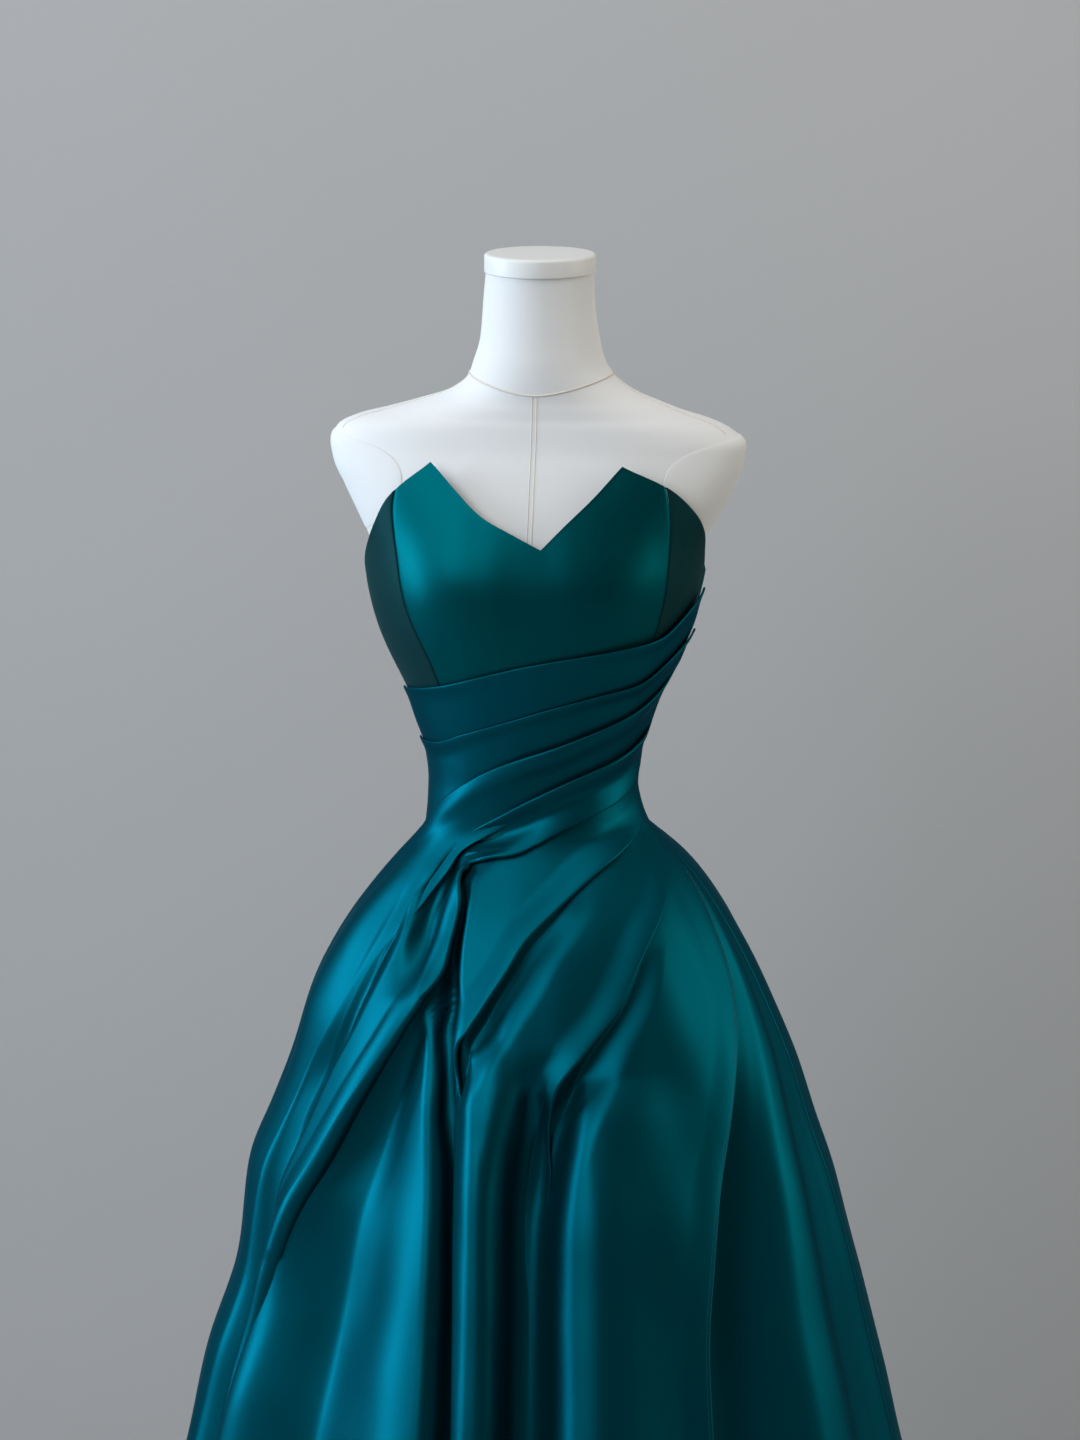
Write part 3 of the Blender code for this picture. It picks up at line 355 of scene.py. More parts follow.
def rounded_radius(size, angle):
    """Radius of a rounded section with its own half-width or depth on each of its four sides."""
    turn = np.radians(angle)
    side = np.where(np.sin(turn) < 0, size.left, size.right)
    depth = np.where(np.cos(turn) > 0, size.front, size.back)
    reach = (np.abs(np.cos(turn)) / depth) ** SQUARENESS + (np.abs(np.sin(turn)) / side) ** SQUARENESS
    return MM * reach ** (-1.0 / SQUARENESS)


def section_radius(rows, angle, height):
    sizes = (by_height(rows, name, height) for name in Section._fields[1:])
    return rounded_radius(Section(height, *sizes), angle)


def cups(angle, height):
    """How far the two cups stand out of the plain sections."""
    up = np.exp(-(((height - CUP_HEIGHT) / CUP_SPREAD_UP) ** 2))
    return CUP_SIZE * up * sum(np.exp(-(((angle - cup) / CUP_SPREAD_DEG) ** 2)) for cup in CUP_ANGLES)


def garment(angle, height):
    """The plain garment surface: bodice above the waist seam and skirt below it."""
    angle, height = np.broadcast_arrays(angle, height)
    bodice = section_radius(BODICE_SECTIONS, angle, height) + cups(angle, height)
    skirt = section_radius(SKIRT_SECTIONS, angle, height)
    return np.where(height > WAIST_SEAM, bodice, skirt)


def fold_depth(rows, angle, height, radius):
    """How far one fold of the overskirt goes in."""
    side = np.radians(angle - by_height(rows, "angle", height)) * radius
    width = MM * np.where(side < 0, by_height(rows, "left", height), by_height(rows, "right", height))
    depth = MM * by_height(rows, "depth", height)
    depth = np.where(height > max(column(rows, "height")), 0.0, depth)
    depth = np.where(height < min(column(rows, "height")), 0.0, depth)
    return depth * valley(side, width)


def bridged(angle, height):
    """The garment surface, with the overskirt's cloth bridging the hollow of the waist."""
    total = 0.0
    for step, weight in BRIDGE:
        total = total + weight * (garment(angle, height - step) + garment(angle, height + step))
    return total / (2.0 * sum(weight for _, weight in BRIDGE))


def overskirt(angle, height):
    """The garment surface with the overskirt's folds pressed in."""
    radius = bridged(angle, height)
    deepest = 0.0
    for rows in OVERSKIRT_FOLDS:
        deepest = deepest + fold_depth(table(Fold, *rows), angle, height, radius)
    return radius - deepest


def skirt_back(angle, height):
    """The garment surface with the back's flutes pressed in, from the right side seam and past 180."""
    radius = garment(angle, height)
    depth = 0.0
    for flute in BACK_FLUTES:
        fall = np.clip((flute.start - height) / (flute.start - HEM_HEIGHT), 0.0, 1.0)
        line = flute.hem + (flute.waist - flute.hem) * np.clip(height / WAIST_SEAM, 0.0, 1.0)
        depth = depth + MM * flute.depth * fall**0.8 * valley(angle - line, flute.width)
    return radius - depth


def free_edge(height):
    """The angle of the overskirt's free edge at a height."""
    edge = [Point(row.free_a, row.free_h) for row in OVERSKIRT]
    return by_height(edge, "angle", height)


def underskirt(angle, height):
    """The underskirt's front: deep behind the overskirt, and out to the side seam in one soft ridge."""
    edge = free_edge(height)
    along = (angle - edge) / (SIDE_SEAM - edge)
    part = smooth(column(UNDERSKIRT_PROFILE, "along"), column(UNDERSKIRT_PROFILE, "part"), along)
    left = by_height(UNDERSKIRT_DEPTHS, "left", height)
    right = by_height(UNDERSKIRT_DEPTHS, "right", height)
    to_right = eased((angle - 12.0) / 24.0)
    from_seam = eased((angle + SIDE_SEAM) / SEAM_EASE_DEG)
    part = part * (1.0 - seam_closed(height) * (1.0 - from_seam))
    return garment(angle, height) - MM * part * (left + (right - left) * to_right)


def seam_closed(height):
    """1 near the waist, where the underskirt meets the back at its left seam, and 0 where it hangs free."""
    return eased((height - SEAM_OPEN_BELOW) / SEAM_OPENS_OVER)


def underskirt_left_edge(height):
    return -SIDE_SEAM + (SKIRT_SEAM_LEFT + SIDE_SEAM) * (1.0 - seam_closed(height))


def round_spot(radius, angle, height):
    turn = np.radians(angle)
    return np.stack([radius * np.sin(turn), -radius * np.cos(turn), height], axis=-1)


def on_surface(surface, angle, height, lift):
    """Points of a surface, moved out along its normal by the lift."""
    angle, height, lift = np.broadcast_arrays(angle, height, lift)

    def spot(turn, level):
        return round_spot(surface(turn, level), turn, level)

    step_angle = 0.25
    step_height = 0.001
    across = spot(angle + step_angle, height) - spot(angle - step_angle, height)
    upward = spot(angle, height + step_height) - spot(angle, height - step_height)
    normal = np.cross(across, upward)
    normal /= np.linalg.norm(normal, axis=-1, keepdims=True)
    return spot(angle, height) + normal * lift[..., None]


def form_sections():
    """The form's sections from the neck down: shoulders, then the bodice's inside, then hips."""
    inside = []
    for row in BODICE_SECTIONS[::-1]:
        if 1.03 < row.height < 1.27:
            spare = FORM_CLEARANCE + (BUST_CLEARANCE - FORM_CLEARANCE) * eased((row.height - 1.10) / 0.14)
            less = (BODICE_WALL + spare) / MM
            inside.append(Section(row.height, *(size - less for size in row[1:])))
    return FORM_SHOULDERS + tuple(inside) + FORM_HIPS


def form_points(section, angles):
    """Points on one section of the form. Cups stand out of it as they do in the bodice."""
    radius = rounded_radius(section, angles) + cups(angles, section.height)
    return round_spot(radius, angles, np.full_like(radius, section.height))


def form_section(place):
    """The form's section at a place, or at each of several, counted along its table from 0 at the neck."""
    sections = form_sections()
    places = range(len(sections))
    return Section(*(smooth(places, column(sections, name), place) for name in Section._fields))


# ---- Fine folds of the overskirt ----

# A channel runs along a stretch: its place across (share), its half-widths on either side and its depth in
# millimetres. A negative depth stands out as a ridge.
Channel = namedtuple("Channel", "along share left right depth")

CHANNELS = tables(Channel, {
    "drape_hip": (
        (
            (0.4, 0.3, 10, 14, 0), (1.5, 0.3, 10, 16, -3), (2.7, 0.34, 10, 16, -5),
            (4.1, 0.4, 12, 18, -6), (5, 0.5, 20, 18, -6), (6, 0.5, 30, 26, -8),
            (7, 0.42, 34, 32, -8), (8.5, 0.35, 34, 36, -5), (13, 0.35, 40, 46, -8),
        ),
        (
            (5, 0.8, 14, 14, 0), (6, 0.84, 22, 16, 5), (7, 0.86, 28, 18, 9),
            (8.5, 0.84, 30, 20, 10), (10, 0.82, 32, 22, 10), (13, 0.8, 34, 26, 10),
        ),
    ),
    "drape_lip": (
        (
            (2.2, 0.42, 8, 8, 0), (2.9, 0.33, 9, 10, 4), (3.4, 0.36, 10, 12, 9), (3.8, 0.45, 9, 12, 12),
            (4.3, 0.36, 7, 11, 13), (4.7, 0.26, 7, 12, 12), (5.1, 0.33, 8, 14, 11),
            (5.6, 0.5, 9, 14, 9), (6.1, 0.64, 10, 12, 5), (6.6, 0.7, 10, 12, 0),
        ),
    ),
    "drape_front": (
        (
            (6.2, 0.04, 8, 12, 2), (7.2, 0.1, 14, 20, 7), (8.2, 0.13, 18, 26, 7),
            (9.2, 0.14, 20, 30, 4), (10.2, 0.16, 22, 32, 0),
        ),
        (
            (7, 0.55, 12, 10, 0), (8.2, 0.7, 26, 10, -3), (9, 0.74, 40, 20, -3),
            (10.6, 0.7, 54, 40, -4), (13, 0.66, 80, 60, -6),
        ),
        (
            (4.7, 0, 3, 10, 0), (5, 0, 3, 12, 7), (5.8, 0.03, 3, 14, 11),
            (6.3, 0.17, 3, 16, 13), (6.6, 0.35, 3, 16, 14), (7.2, 0.62, 4, 14, 14),
            (7.7, 0.79, 4, 12, 14), (8.4, 0.9, 5, 10, 12), (9.2, 0.97, 7, 8, 12),
            (13, 0.98, 12, 10, 12),
        ),
    ),
    "drape_ridge": (
        (
            (2.6, 0, 4, 12, 0), (3.4, 0.04, 5, 15, 6), (5, 0.05, 6, 18, 10),
            (6.4, 0.06, 6, 18, 10), (7.3, 0.05, 6, 14, 8), (7.9, 0.04, 6, 8, 0),
        ),
        (
            (2.5, 0.34, 16, 22, 0), (3.5, 0.32, 18, 26, -3), (5.2, 0.3, 18, 30, -5),
            (6.2, 0.36, 16, 24, -5), (7.2, 0.4, 14, 22, -3), (8, 0.4, 14, 20, 0),
        ),
        (
            (6.2, 0.36, 20, 16, 0), (7, 0.46, 28, 14, -6), (8, 0.44, 28, 14, -9),
            (8.8, 0.34, 24, 20, -9), (9.6, 0.26, 20, 28, -8), (13, 0.22, 22, 34, -9),
        ),
        (
            (5.9, 0.86, 16, 18, 0), (6.3, 0.86, 16, 18, 3), (6.7, 0.92, 18, 18, 10),
            (7.5, 0.98, 20, 18, 16), (9.5, 1, 22, 24, 14), (13, 1, 26, 30, 16),
        ),
    ),
    "drape_fall": (
        (
            (2.8, 0.02, 6, 12, 0), (3.8, 0.04, 6, 16, 6), (5, 0.04, 7, 20, 10),
            (5.9, 0.05, 9, 22, 19), (7, 0.02, 12, 21, 18), (9.5, 0, 22, 24, 14),
            (13, 0, 26, 30, 16),
        ),
        (
            (5.6, 0.34, 30, 30, 0), (6.6, 0.38, 30, 44, -8), (8.5, 0.46, 42, 60, -14),
            (13, 0.48, 56, 70, -16),
        ),
    ),
})

# How each side of a stretch meets its neighbour: 1 lies over it as a rolled fold, -1 runs on under it. The
# roll is the fold's radius and the stand is how far it stands off the garment surface, in millimetres.
Edge = namedtuple("Edge", "along over roll stand")

EDGES = tables(Edge, {
    "drape_hip": (
        ((0, 1, 1.4, 6.5), (3, 1, 1.8, 7.5), (6, 1, 2.4, 7), (13, 1, 2.8, 6.8)),
        (
            (0, -1, 0.4, 2.6), (5, -1, 0.4, 2.6), (6.2, 1, 3, 8), (8, 1, 6.5, 9),
            (13, 1, 9, 9),
        ),
    ),
    "drape_lip": (
        (
            (0, 1, 1.5, 7.5), (2.5, 1, 1.8, 8.5), (4.6, 1, 1.8, 8), (5.4, 0.6, 1.4, 6),
            (6.4, -1, 0.4, 2.6), (13, -1, 0.4, 2.6),
        ),
        (
            (0, 1, 1.4, 6.5), (2.4, 1, 1.7, 7.5), (3.4, 1, 2.2, 10.5), (4.1, 1, 2.4, 14),
            (4.7, 1, 2.4, 14), (5.6, 1, 3, 12), (7, 1, 6, 13), (9, 1, 11, 13),
            (13, 1, 14, 13),
        ),
    ),
    "drape_front": (
        ((0, -1, 0.4, 2.6), (13, -1, 0.4, 2.6)),
        (
            (0, 1, 1.4, 6.5), (3, 1, 2, 8.5), (7.4, 1, 2.2, 9), (8.2, -1, 0.4, 3),
            (13, -1, 0.4, 2.6),
        ),
    ),
    "drape_ridge": (
        ((0, -1, 0.4, 2.6), (7.6, -1, 0.4, 2.6), (8.5, 1, 3, 6), (13, 1, 5, 7)),
        (
            (0, 1, 1.3, 6), (4, 1, 1.8, 8), (6, 1, 2.4, 9.5), (6.8, 1, 2, 7),
            (7.4, 0.4, 1.2, 4), (7.9, -1, 0.4, 2.6), (13, -1, 0.4, 2.6),
        ),
    ),
    "drape_fall": (
        ((0, -1, 0.4, 2.6), (13, -1, 0.4, 2.6)),
        ((0, 0.9, 0.7, 3.4), (4, 0.9, 0.8, 5), (13, 0.9, 0.9, 6)),
    ),
})

# The fold lines on the two sides of each stretch, and its columns of points.
Stretch = namedtuple("Stretch", "first second columns")

STRETCHES = {
    "drape_hip": Stretch("hip", "lip", 60),
    "drape_lip": Stretch("lip", "front", 60),
    "drape_front": Stretch("front", "ridge", 110),
    "drape_ridge": Stretch("ridge", "fall", 80),
    "drape_fall": Stretch("fall", "free", 80),
}
STRETCH_ROWS = 225
DRAPE_SHEET = 0.0006
LAYER_LIFT = 0.0026
SIDE_STAND = 0.0034
EDGE_BLEND = 0.026
ROLL_STEPS = 6
LEAST_ROLL = 0.0003
ROLL_MARGINS = (0.003, 0.007)
RUN_ON_STEPS = (1.0, 0.66, 0.33)
LEAST_RUN_ON = 0.0002
# The unevenness of a stretch at the waist, and what it gains on the skirt.
DRAPE_UNEVEN = (0.0002, 0.0003)
HIDDEN_SET_BACK = 0.008

GORE_UNEVEN = 0.0004
GORE_SEAM_SINK = 0.0008
GORE_SEAM_WIDTH = 0.0025

BODICE_SHEET = 0.0016
BODICE_UNEVEN = 0.00012
BODICE_SEAM_SINK = 0.0005
BODICE_SEAM_WIDTH = 0.0012
BODICE_RADIUS = 0.12
SEAM_RADIUS = 0.10
BUST_LINE = 1.30
BUST_SOFTENING = 0.020

BAND_BLEND = 0.016
BAND_ROLL = 0.0010
BAND_MARGIN = 0.006
BAND_PILLOW = 0.0012
BAND_UNEVEN = 0.00015

STITCH = 0.0024
STITCH_GAP = 0.0012
STITCH_RADIUS = 0.00022
STITCH_LIFT = 0.00015
HEM_STITCH_LIFT = 0.0006
FREE_EDGE_COLUMNS = (-11, -14)
FREE_STITCH_TOP = 0.985
HEM_ALLOWANCE = 0.025
TOOTH_PITCH = 0.0018
TOOTH_WIDTH = 0.0013
TOOTH_RISE = 0.0001
ZIP_MARGIN = 0.003

NECK_SEAM_HEIGHT = 1.424
NECK_SEAM_SIDE_RISE = 0.013
NECK_SEAM_BACK_RISE = 0.006
NECK_SEAM_RADIUS = 0.0009
FINE_SEAM_RADIUS = 0.0005
DOUBLE_SEAM = 0.0021
SHOULDER_SEAM_TOP = 1.437
SHOULDER_SEAM_END = 1.386
SHOULDER_SEAM_ANGLE = 84.0
SHOULDER_SEAM_TURN = 8.0
# The double seams down the front and the back of the form.
DoubleSeam = namedtuple("DoubleSeam", "angle top bottom")
DOUBLE_SEAMS = table(DoubleSeam, (0.6, 1.423, 1.22), (180.0, 1.442, 1.20))

ARM_PLATE_RAISE = 0.0005
ARM_PLATE_PUFF = 0.0009
ARM_PLATE_MIDDLE = 0.0022
ARM_PLATE_SUNK = -0.0008

ROUND_SIDES = 96
CAP_FLAT = 0.020
CAP_LOWER_EDGE = 0.0012
COLLAR_EDGE = 0.002
COLLAR_FILLET = 0.008
COLLAR_FILLET_RAISE = 0.009
BASE_FOOT = 0.003
BASE_FOOT_INSET = 0.002

# ---- Finishes, room, lights and camera ----

Finish = namedtuple("Finish", "colour varied roughness metallic scale")
Satin = namedtuple("Satin", "colour varied roughness metallic sheen")

SATINS = {
    "satin": Satin((0.0, 0.090, 0.128), (0.0, 0.078, 0.109), 0.44, 0.85, 0.02),
    "satin_bodice": Satin((0.0, 0.094, 0.112), (0.0, 0.080, 0.096), 0.44, 0.85, 0.02),
    # The bodice's side panels: a darker, greyer copy of the same satin, with shade and a grey sheen painted
    # in where they turn from the light.
    "satin_side": Satin((0.007, 0.044, 0.050), (0.007, 0.037, 0.042), 0.50, 0.35, 0.04),
    "satin_under": Satin((0.0, 0.098, 0.138), (0.0, 0.082, 0.114), 0.44, 0.85, 0.02),
}
FINISHES = {
    "thread": Finish((0.0, 0.10, 0.15), (0.0, 0.085, 0.13), 0.5, 0.0, 900.0),
    "cap_lacquer": Finish((0.86, 0.85, 0.83), (0.83, 0.82, 0.80), 0.42, 0.0, 14.0),
    "stand_metal": Finish((0.72, 0.73, 0.75), (0.66, 0.67, 0.69), 0.30, 1.0, 60.0),
    "zip_tape": Finish((0.0, 0.055, 0.075), (0.0, 0.045, 0.06), 0.55, 0.0, 300.0),
    "zip_metal": Finish((0.01, 0.11, 0.14), (0.01, 0.09, 0.115), 0.30, 0.6, 200.0),
    "floor_paint": Finish((0.42, 0.42, 0.42), (0.40, 0.40, 0.40), 0.8, 0.0, 3.0),
    "wall_paint": Finish((0.535, 0.515, 0.51), (0.515, 0.495, 0.49), 0.85, 0.0, 1.3),
}
COTTON = ((0.84, 0.83, 0.835), (0.81, 0.80, 0.80))
SEAM_COTTON = ((0.74, 0.69, 0.61), (0.70, 0.65, 0.57))

# Sizes in metres, power in watts and spread in degrees.
Light = namedtuple("Light", "place target wide tall power colour spread")

LIGHTS = {
    "window": Light((-3.0, -0.55, 1.5), (0.0, -0.5, 1.15), 1.1, 2.3, 32.0, (0.66, 0.84, 1.0), 110.0),
    "front_soft": Light((-1.9, -2.9, 2.9), (0.0, 0.0, 1.15), 2.2, 2.2, 62.0, (0.88, 0.94, 1.0), 180.0),
    "ceiling": Light((0.0, -0.8, 4.2), (0.0, 0.0, 1.2), 2.5, 2.5, 40.0, (1.0, 1.0, 1.0), 180.0),
    "right_fill": Light((3.3, -0.1, 1.9), (0.0, 0.0, 1.15), 1.6, 2.0, 33.0, (1.0, 0.97, 0.84), 180.0),
}
WORLD_COLOUR = (1.0, 0.98, 0.84, 1.0)
WORLD_STRENGTH = 0.09

ROOM_HALF_WIDTH = 6.0
ROOM_FRONT = -6.0
ROOM_HEIGHT = 5.0
WALL_BEHIND = 1.05

CAMERA_HEIGHT = 1.114
CAMERA_DISTANCE = 5.0
CAMERA_AZIMUTH = 6.0
CAMERA_ELEVATION = 12.5
METRES_PER_PIXEL = 0.00092
PHOTO_HEIGHT = 1440
SENSOR = 24.0

# ---- Meshes ----


def shares(count):
    return np.linspace(0.0, 1.0, count)


def grid_normals(grid):
    """Unit normals, facing out, of a grid whose rows run down and whose columns run to rising angles."""
    normal = np.cross(np.gradient(grid, axis=0), np.gradient(grid, axis=1))
    length = np.linalg.norm(normal, axis=-1, keepdims=True)
    return normal / np.maximum(length, 1e-12)


def arc_lengths(grid, axis):
    step = np.linalg.norm(np.diff(grid, axis=axis), axis=-1)
    start = np.zeros_like(np.take(step, [0], axis=axis))
    return np.concatenate([start, np.cumsum(step, axis=axis)], axis=axis)


def added(name, data):
    """A new object in the scene."""
    item = bpy.data.objects.new(name, data)
    bpy.context.scene.collection.objects.link(item)
    return item


def fast_mesh(name, points, quads, uv, material):
    """A smooth quad mesh, with a UV map in metres of cloth."""
    mesh = bpy.data.meshes.new(name)
    quads = np.asarray(quads, np.int32)
    mesh.vertices.add(len(points))
    mesh.vertices.foreach_set("co", np.asarray(points, np.float32).ravel())
    mesh.loops.add(quads.size)
    mesh.loops.foreach_set("vertex_index", quads.ravel())
    mesh.polygons.add(len(quads))
    mesh.polygons.foreach_set("loop_start", np.arange(0, quads.size, 4, dtype=np.int32))
    mesh.update(calc_edges=True)
    layer = mesh.uv_layers.new(name="cloth")
    layer.data.foreach_set("uv", np.asarray(uv, np.float32)[quads.ravel()].ravel())
    mesh.validate()
    mesh.shade_smooth()
    mesh.materials.append(material)
    return added(name, mesh)


def wall_quads(rows, columns):
    """Quads of a closed wall: an outer grid, then an inner one with as many points."""
    index = np.arange(rows * columns).reshape(rows, columns)
    under = index + rows * columns
    a, b, c, d = index[:-1, :-1], index[1:, :-1], index[1:, 1:], index[:-1, 1:]
    e, f, g, h = under[:-1, :-1], under[1:, :-1], under[1:, 1:], under[:-1, 1:]
    parts = [
        np.stack([a, b, c, d], -1).reshape(-1, 4),
        np.stack([e, h, g, f], -1).reshape(-1, 4),
        np.stack([index[0, :-1], index[0, 1:], under[0, 1:], under[0, :-1]], -1),
        np.stack([index[-1, :-1], under[-1, :-1], under[-1, 1:], index[-1, 1:]], -1),
        np.stack([index[:-1, 0], under[:-1, 0], under[1:, 0], index[1:, 0]], -1),
        np.stack([index[:-1, -1], index[1:, -1], under[1:, -1], under[:-1, -1]], -1),
    ]
    return np.concatenate(parts)


def shell(name, outer, thickness, material, node):
    """A thin closed shell inside a grid of points. It stands for a node of the solids."""
    inner = outer - grid_normals(outer) * thickness
    rows, columns = outer.shape[:2]
    across = arc_lengths(outer, 1)
    across = across - across[:, [columns // 2]]
    down = arc_lengths(outer, 0)
    uv = np.stack([across, -down], -1).reshape(-1, 2)
    points = np.concatenate([outer.reshape(-1, 3), inner.reshape(-1, 3)])
    item = fast_mesh(name, points, wall_quads(rows, columns), np.concatenate([uv, uv]), material)
    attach(item, "dress")
    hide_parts(node)
    return item


def uneven(angle, height, size):
    """A soft, wide unevenness of the cloth, without a repeat."""
    turn = np.radians(angle)
    waves = (
        np.sin(9.0 * turn + 21.0 * height + 0.6)
        + 0.8 * np.sin(14.0 * turn - 33.0 * height + 2.1)
        + 0.6 * np.sin(23.0 * turn + 12.0 * height + 4.4)
        + 0.5 * np.sin(5.0 * turn + 61.0 * height + 1.3)
    )
    return size * waves


# ---- The overskirt ----


def fold_line(name, along):
    """A fold line of the overskirt, from the side seam to the hem, as angles and heights."""
    places = np.arange(len(OVERSKIRT))
    angle = smooth(places, column(OVERSKIRT, name + "_a"), along)
    height = smooth(places, column(OVERSKIRT, name + "_h"), along)
    return angle, height


def by_along(rows, name, along):
    return smooth(column(rows, "along"), column(rows, name), along)


def channels_depth(rows, along, across, wide):
    """How far a channel goes in. The place across runs in metres from the stretch's first side."""
    line = by_along(rows, "share", along) * wide
    depth = MM * by_along(rows, "depth", along)
    depth = np.where(along < rows[0].along, 0.0, depth)
    side = across - line
    width = MM * np.where(side < 0, by_along(rows, "left", along), by_along(rows, "right", along))
    return depth * valley(side, width)


def stretch_rows(first, second):
    """Places along a stretch, evenly spaced on the cloth."""
    dense = np.linspace(0.0, len(OVERSKIRT) - 1.0, 1500)
    angle_a, height_a = fold_line(first, dense)
    angle_b, height_b = fold_line(second, dense)
    middle = on_surface(overskirt, 0.5 * (angle_a + angle_b), 0.5 * (height_a + height_b), 0.0)
    length = np.concatenate([[0.0], np.cumsum(np.linalg.norm(np.diff(middle, axis=0), axis=-1))])
    return np.interp(np.linspace(0.0, length[-1], STRETCH_ROWS), length, dense)[:, None]


def stretch_grid(name):
    """The fine surface of one stretch of the overskirt, with its two sides rolled under or run on."""
    first, second, columns = STRETCHES[name]
    along = stretch_rows(first, second)
    angle_a, height_a = fold_line(first, along)
    angle_b, height_b = fold_line(second, along)
    radius = garment(0.5 * (angle_a + angle_b), 0.5 * (height_a + height_b))
    wide = np.hypot(np.radians(angle_b - angle_a) * radius, height_b - height_a)
    rows_a, rows_b = EDGES[name]
    over = [by_along(rows, "over", along) for rows in (rows_a, rows_b)]
    roll = [MM * by_along(rows, "roll", along) for rows in (rows_a, rows_b)]
    stand = [MM * by_along(rows, "stand", along) for rows in (rows_a, rows_b)]
    stand = [SIDE_STAND + (high - SIDE_STAND) * eased((along + 0.1) / 0.7) for high in stand]
    roll = [size * (0.5 + 0.5 * eased(along / 0.6)) for size in roll]
    run_on = [np.maximum(TUCK * 0.5 * (1.0 - state), LEAST_RUN_ON) for state in over]
    inset = [size * np.clip(state, 0.0, 1.0) for size, state in zip(roll, over)]
    body = 0.35 * (0.5 - 0.5 * np.cos(np.pi * shares(columns))) + 0.65 * shares(columns)
    across = inset[0] + (wide - inset[0] - inset[1]) * body[None, :]
    steps = np.array(RUN_ON_STEPS)[None, :]
    before = inset[0] - run_on[0] * steps
    beyond = wide - inset[1] + run_on[1] * steps[:, ::-1]
    across = np.concatenate([before, across, beyond], axis=1)
    share = across / wide
    angle = angle_a + (angle_b - angle_a) * share
    height = np.maximum(height_a + (height_b - height_a) * share, HEM_HEIGHT)
    near = [1.0 - eased(across / EDGE_BLEND), 1.0 - eased((wide - across) / EDGE_BLEND)]
    lift = LAYER_LIFT + (stand[0] - LAYER_LIFT) * near[0] + (stand[1] - LAYER_LIFT) * near[1]
    for rows in CHANNELS[name]:
        lift = lift - channels_depth(rows, along, across, wide)
    fine = DRAPE_UNEVEN[0] + DRAPE_UNEVEN[1] * eased((1.03 - height) / 0.2)
    lift = lift + uneven(angle, height, fine) * (1.0 - near[0]) * (1.0 - near[1])
    grid = on_surface(overskirt, angle, height, lift)
    return rolled(grid, roll, over)


def rolled(grid, roll, over):
    """The grid with a rolled fold added along its first and last columns, and a margin under each."""
    normal = grid_normals(grid)
    sides = []
    for end, inward in ((0, 1), (-1, -2)):
        edge = grid[:, end]
        out = edge - grid[:, inward]
        up = normal[:, end]
        out = out - up * np.sum(out * up, axis=-1, keepdims=True)
        out = out / np.maximum(np.linalg.norm(out, axis=-1, keepdims=True), 1e-9)
        radius = np.maximum(roll[end], LEAST_ROLL)
        turns = np.radians(np.linspace(0.0, 180.0, ROLL_STEPS + 1))[1:]
        ring = [edge + out * radius * np.sin(t) - up * radius * (1.0 - np.cos(t)) for t in turns]
        state = np.clip(over[end], 0.0, 1.0)
        for length in ROLL_MARGINS:
            ring.append(edge - out * length * (0.2 + 0.8 * state) - up * 2.0 * radius)
        sides.append(np.stack(ring, axis=1))
    return np.concatenate([sides[0][:, ::-1], grid, sides[1]], axis=1)


def make_overskirt(material):
    for name in STRETCHES:
        grid = stretch_grid(name)
        shell(name, grid, DRAPE_SHEET, material, name)
    return grid


# ---- The underskirt, the back and the bodice ----


def upright(angle):
    return lambda height: angle + 0.0 * np.asarray(height)


def zip_side(sign):
    """The angle of the edge beside the zip's chain. Below the zip it closes on the centre back."""

    def edge(height):
        half = 0.5 * ZIP_WIDTH * eased((height - ZIP_END) / (ZIP_BOTTOM - ZIP_END))
        return sign * (180.0 - np.degrees(half / garment(180.0, height)))

    return edge


def deep_underskirt(angle, height):
    """The underskirt, set back a little where the overskirt hides it, clear of that one's deepest folds."""
    hidden = eased((free_edge(height) - angle - 3.0) / 8.0) * eased((0.99 - height) / 0.06)
    return underskirt(angle, height) - HIDDEN_SET_BACK * hidden * eased((angle + SIDE_SEAM - 4.0) / 12.0)


def gore(name, surface, left_edge, right_edge, columns, rows, material, above):
    """One gore of the skirt. Its seams sink a little."""
    height = (WAIST_SEAM - SEAM_GAP) + (HEM_HEIGHT - WAIST_SEAM + SEAM_GAP) * shares(rows)[:, None]
    shift = np.degrees(0.5 * SEAM_GAP / garment(0.0, height))
    left = left_edge(height) + shift
    right = right_edge(height) - shift
    part = shares(columns)[None, :]
    angle = left + (right - left) * part
    soft = eased((WAIST_SEAM - height) / 0.15)
    from_side = np.minimum(part, 1.0 - part) * np.radians(right - left) * garment(0.0, height)
    lift = uneven(angle, height, GORE_UNEVEN) * soft
    lift = lift - GORE_SEAM_SINK * np.exp(-from_side / GORE_SEAM_WIDTH)
    grid = on_surface(surface, angle, height, lift)
    shell(name, grid, DRAPE_SHEET, material, name)


def make_skirt(material):
    def seam(height):
        return by_height(UNDERSKIRT_SEAM, "angle", height)

    def beyond_zip(height):
        return zip_side(-1)(height) + 360.0

    front = [
        ("underskirt_front_left", deep_underskirt, underskirt_left_edge, seam, 60, 120),
        ("underskirt_front_right", deep_underskirt, seam, upright(SIDE_SEAM), 90, 140),
    ]
    right = [
        ("skirt_back_side_right", skirt_back, upright(SIDE_SEAM), upright(132.0), 80, 130),
        ("skirt_back_centre_right", skirt_back, upright(132.0), zip_side(1), 80, 130),
    ]
    left = [
        ("skirt_back_centre_left", skirt_back, beyond_zip, upright(228.0), 80, 130),
        ("skirt_back_side_left", skirt_back, upright(228.0), upright(360.0 - SIDE_SEAM), 80, 130),
    ]
    for gores, above in ((front, "bodice_front"), (right, "bodice_back_right"), (left, "bodice_back_left")):
        for row in gores:
            gore(*row, material, above)


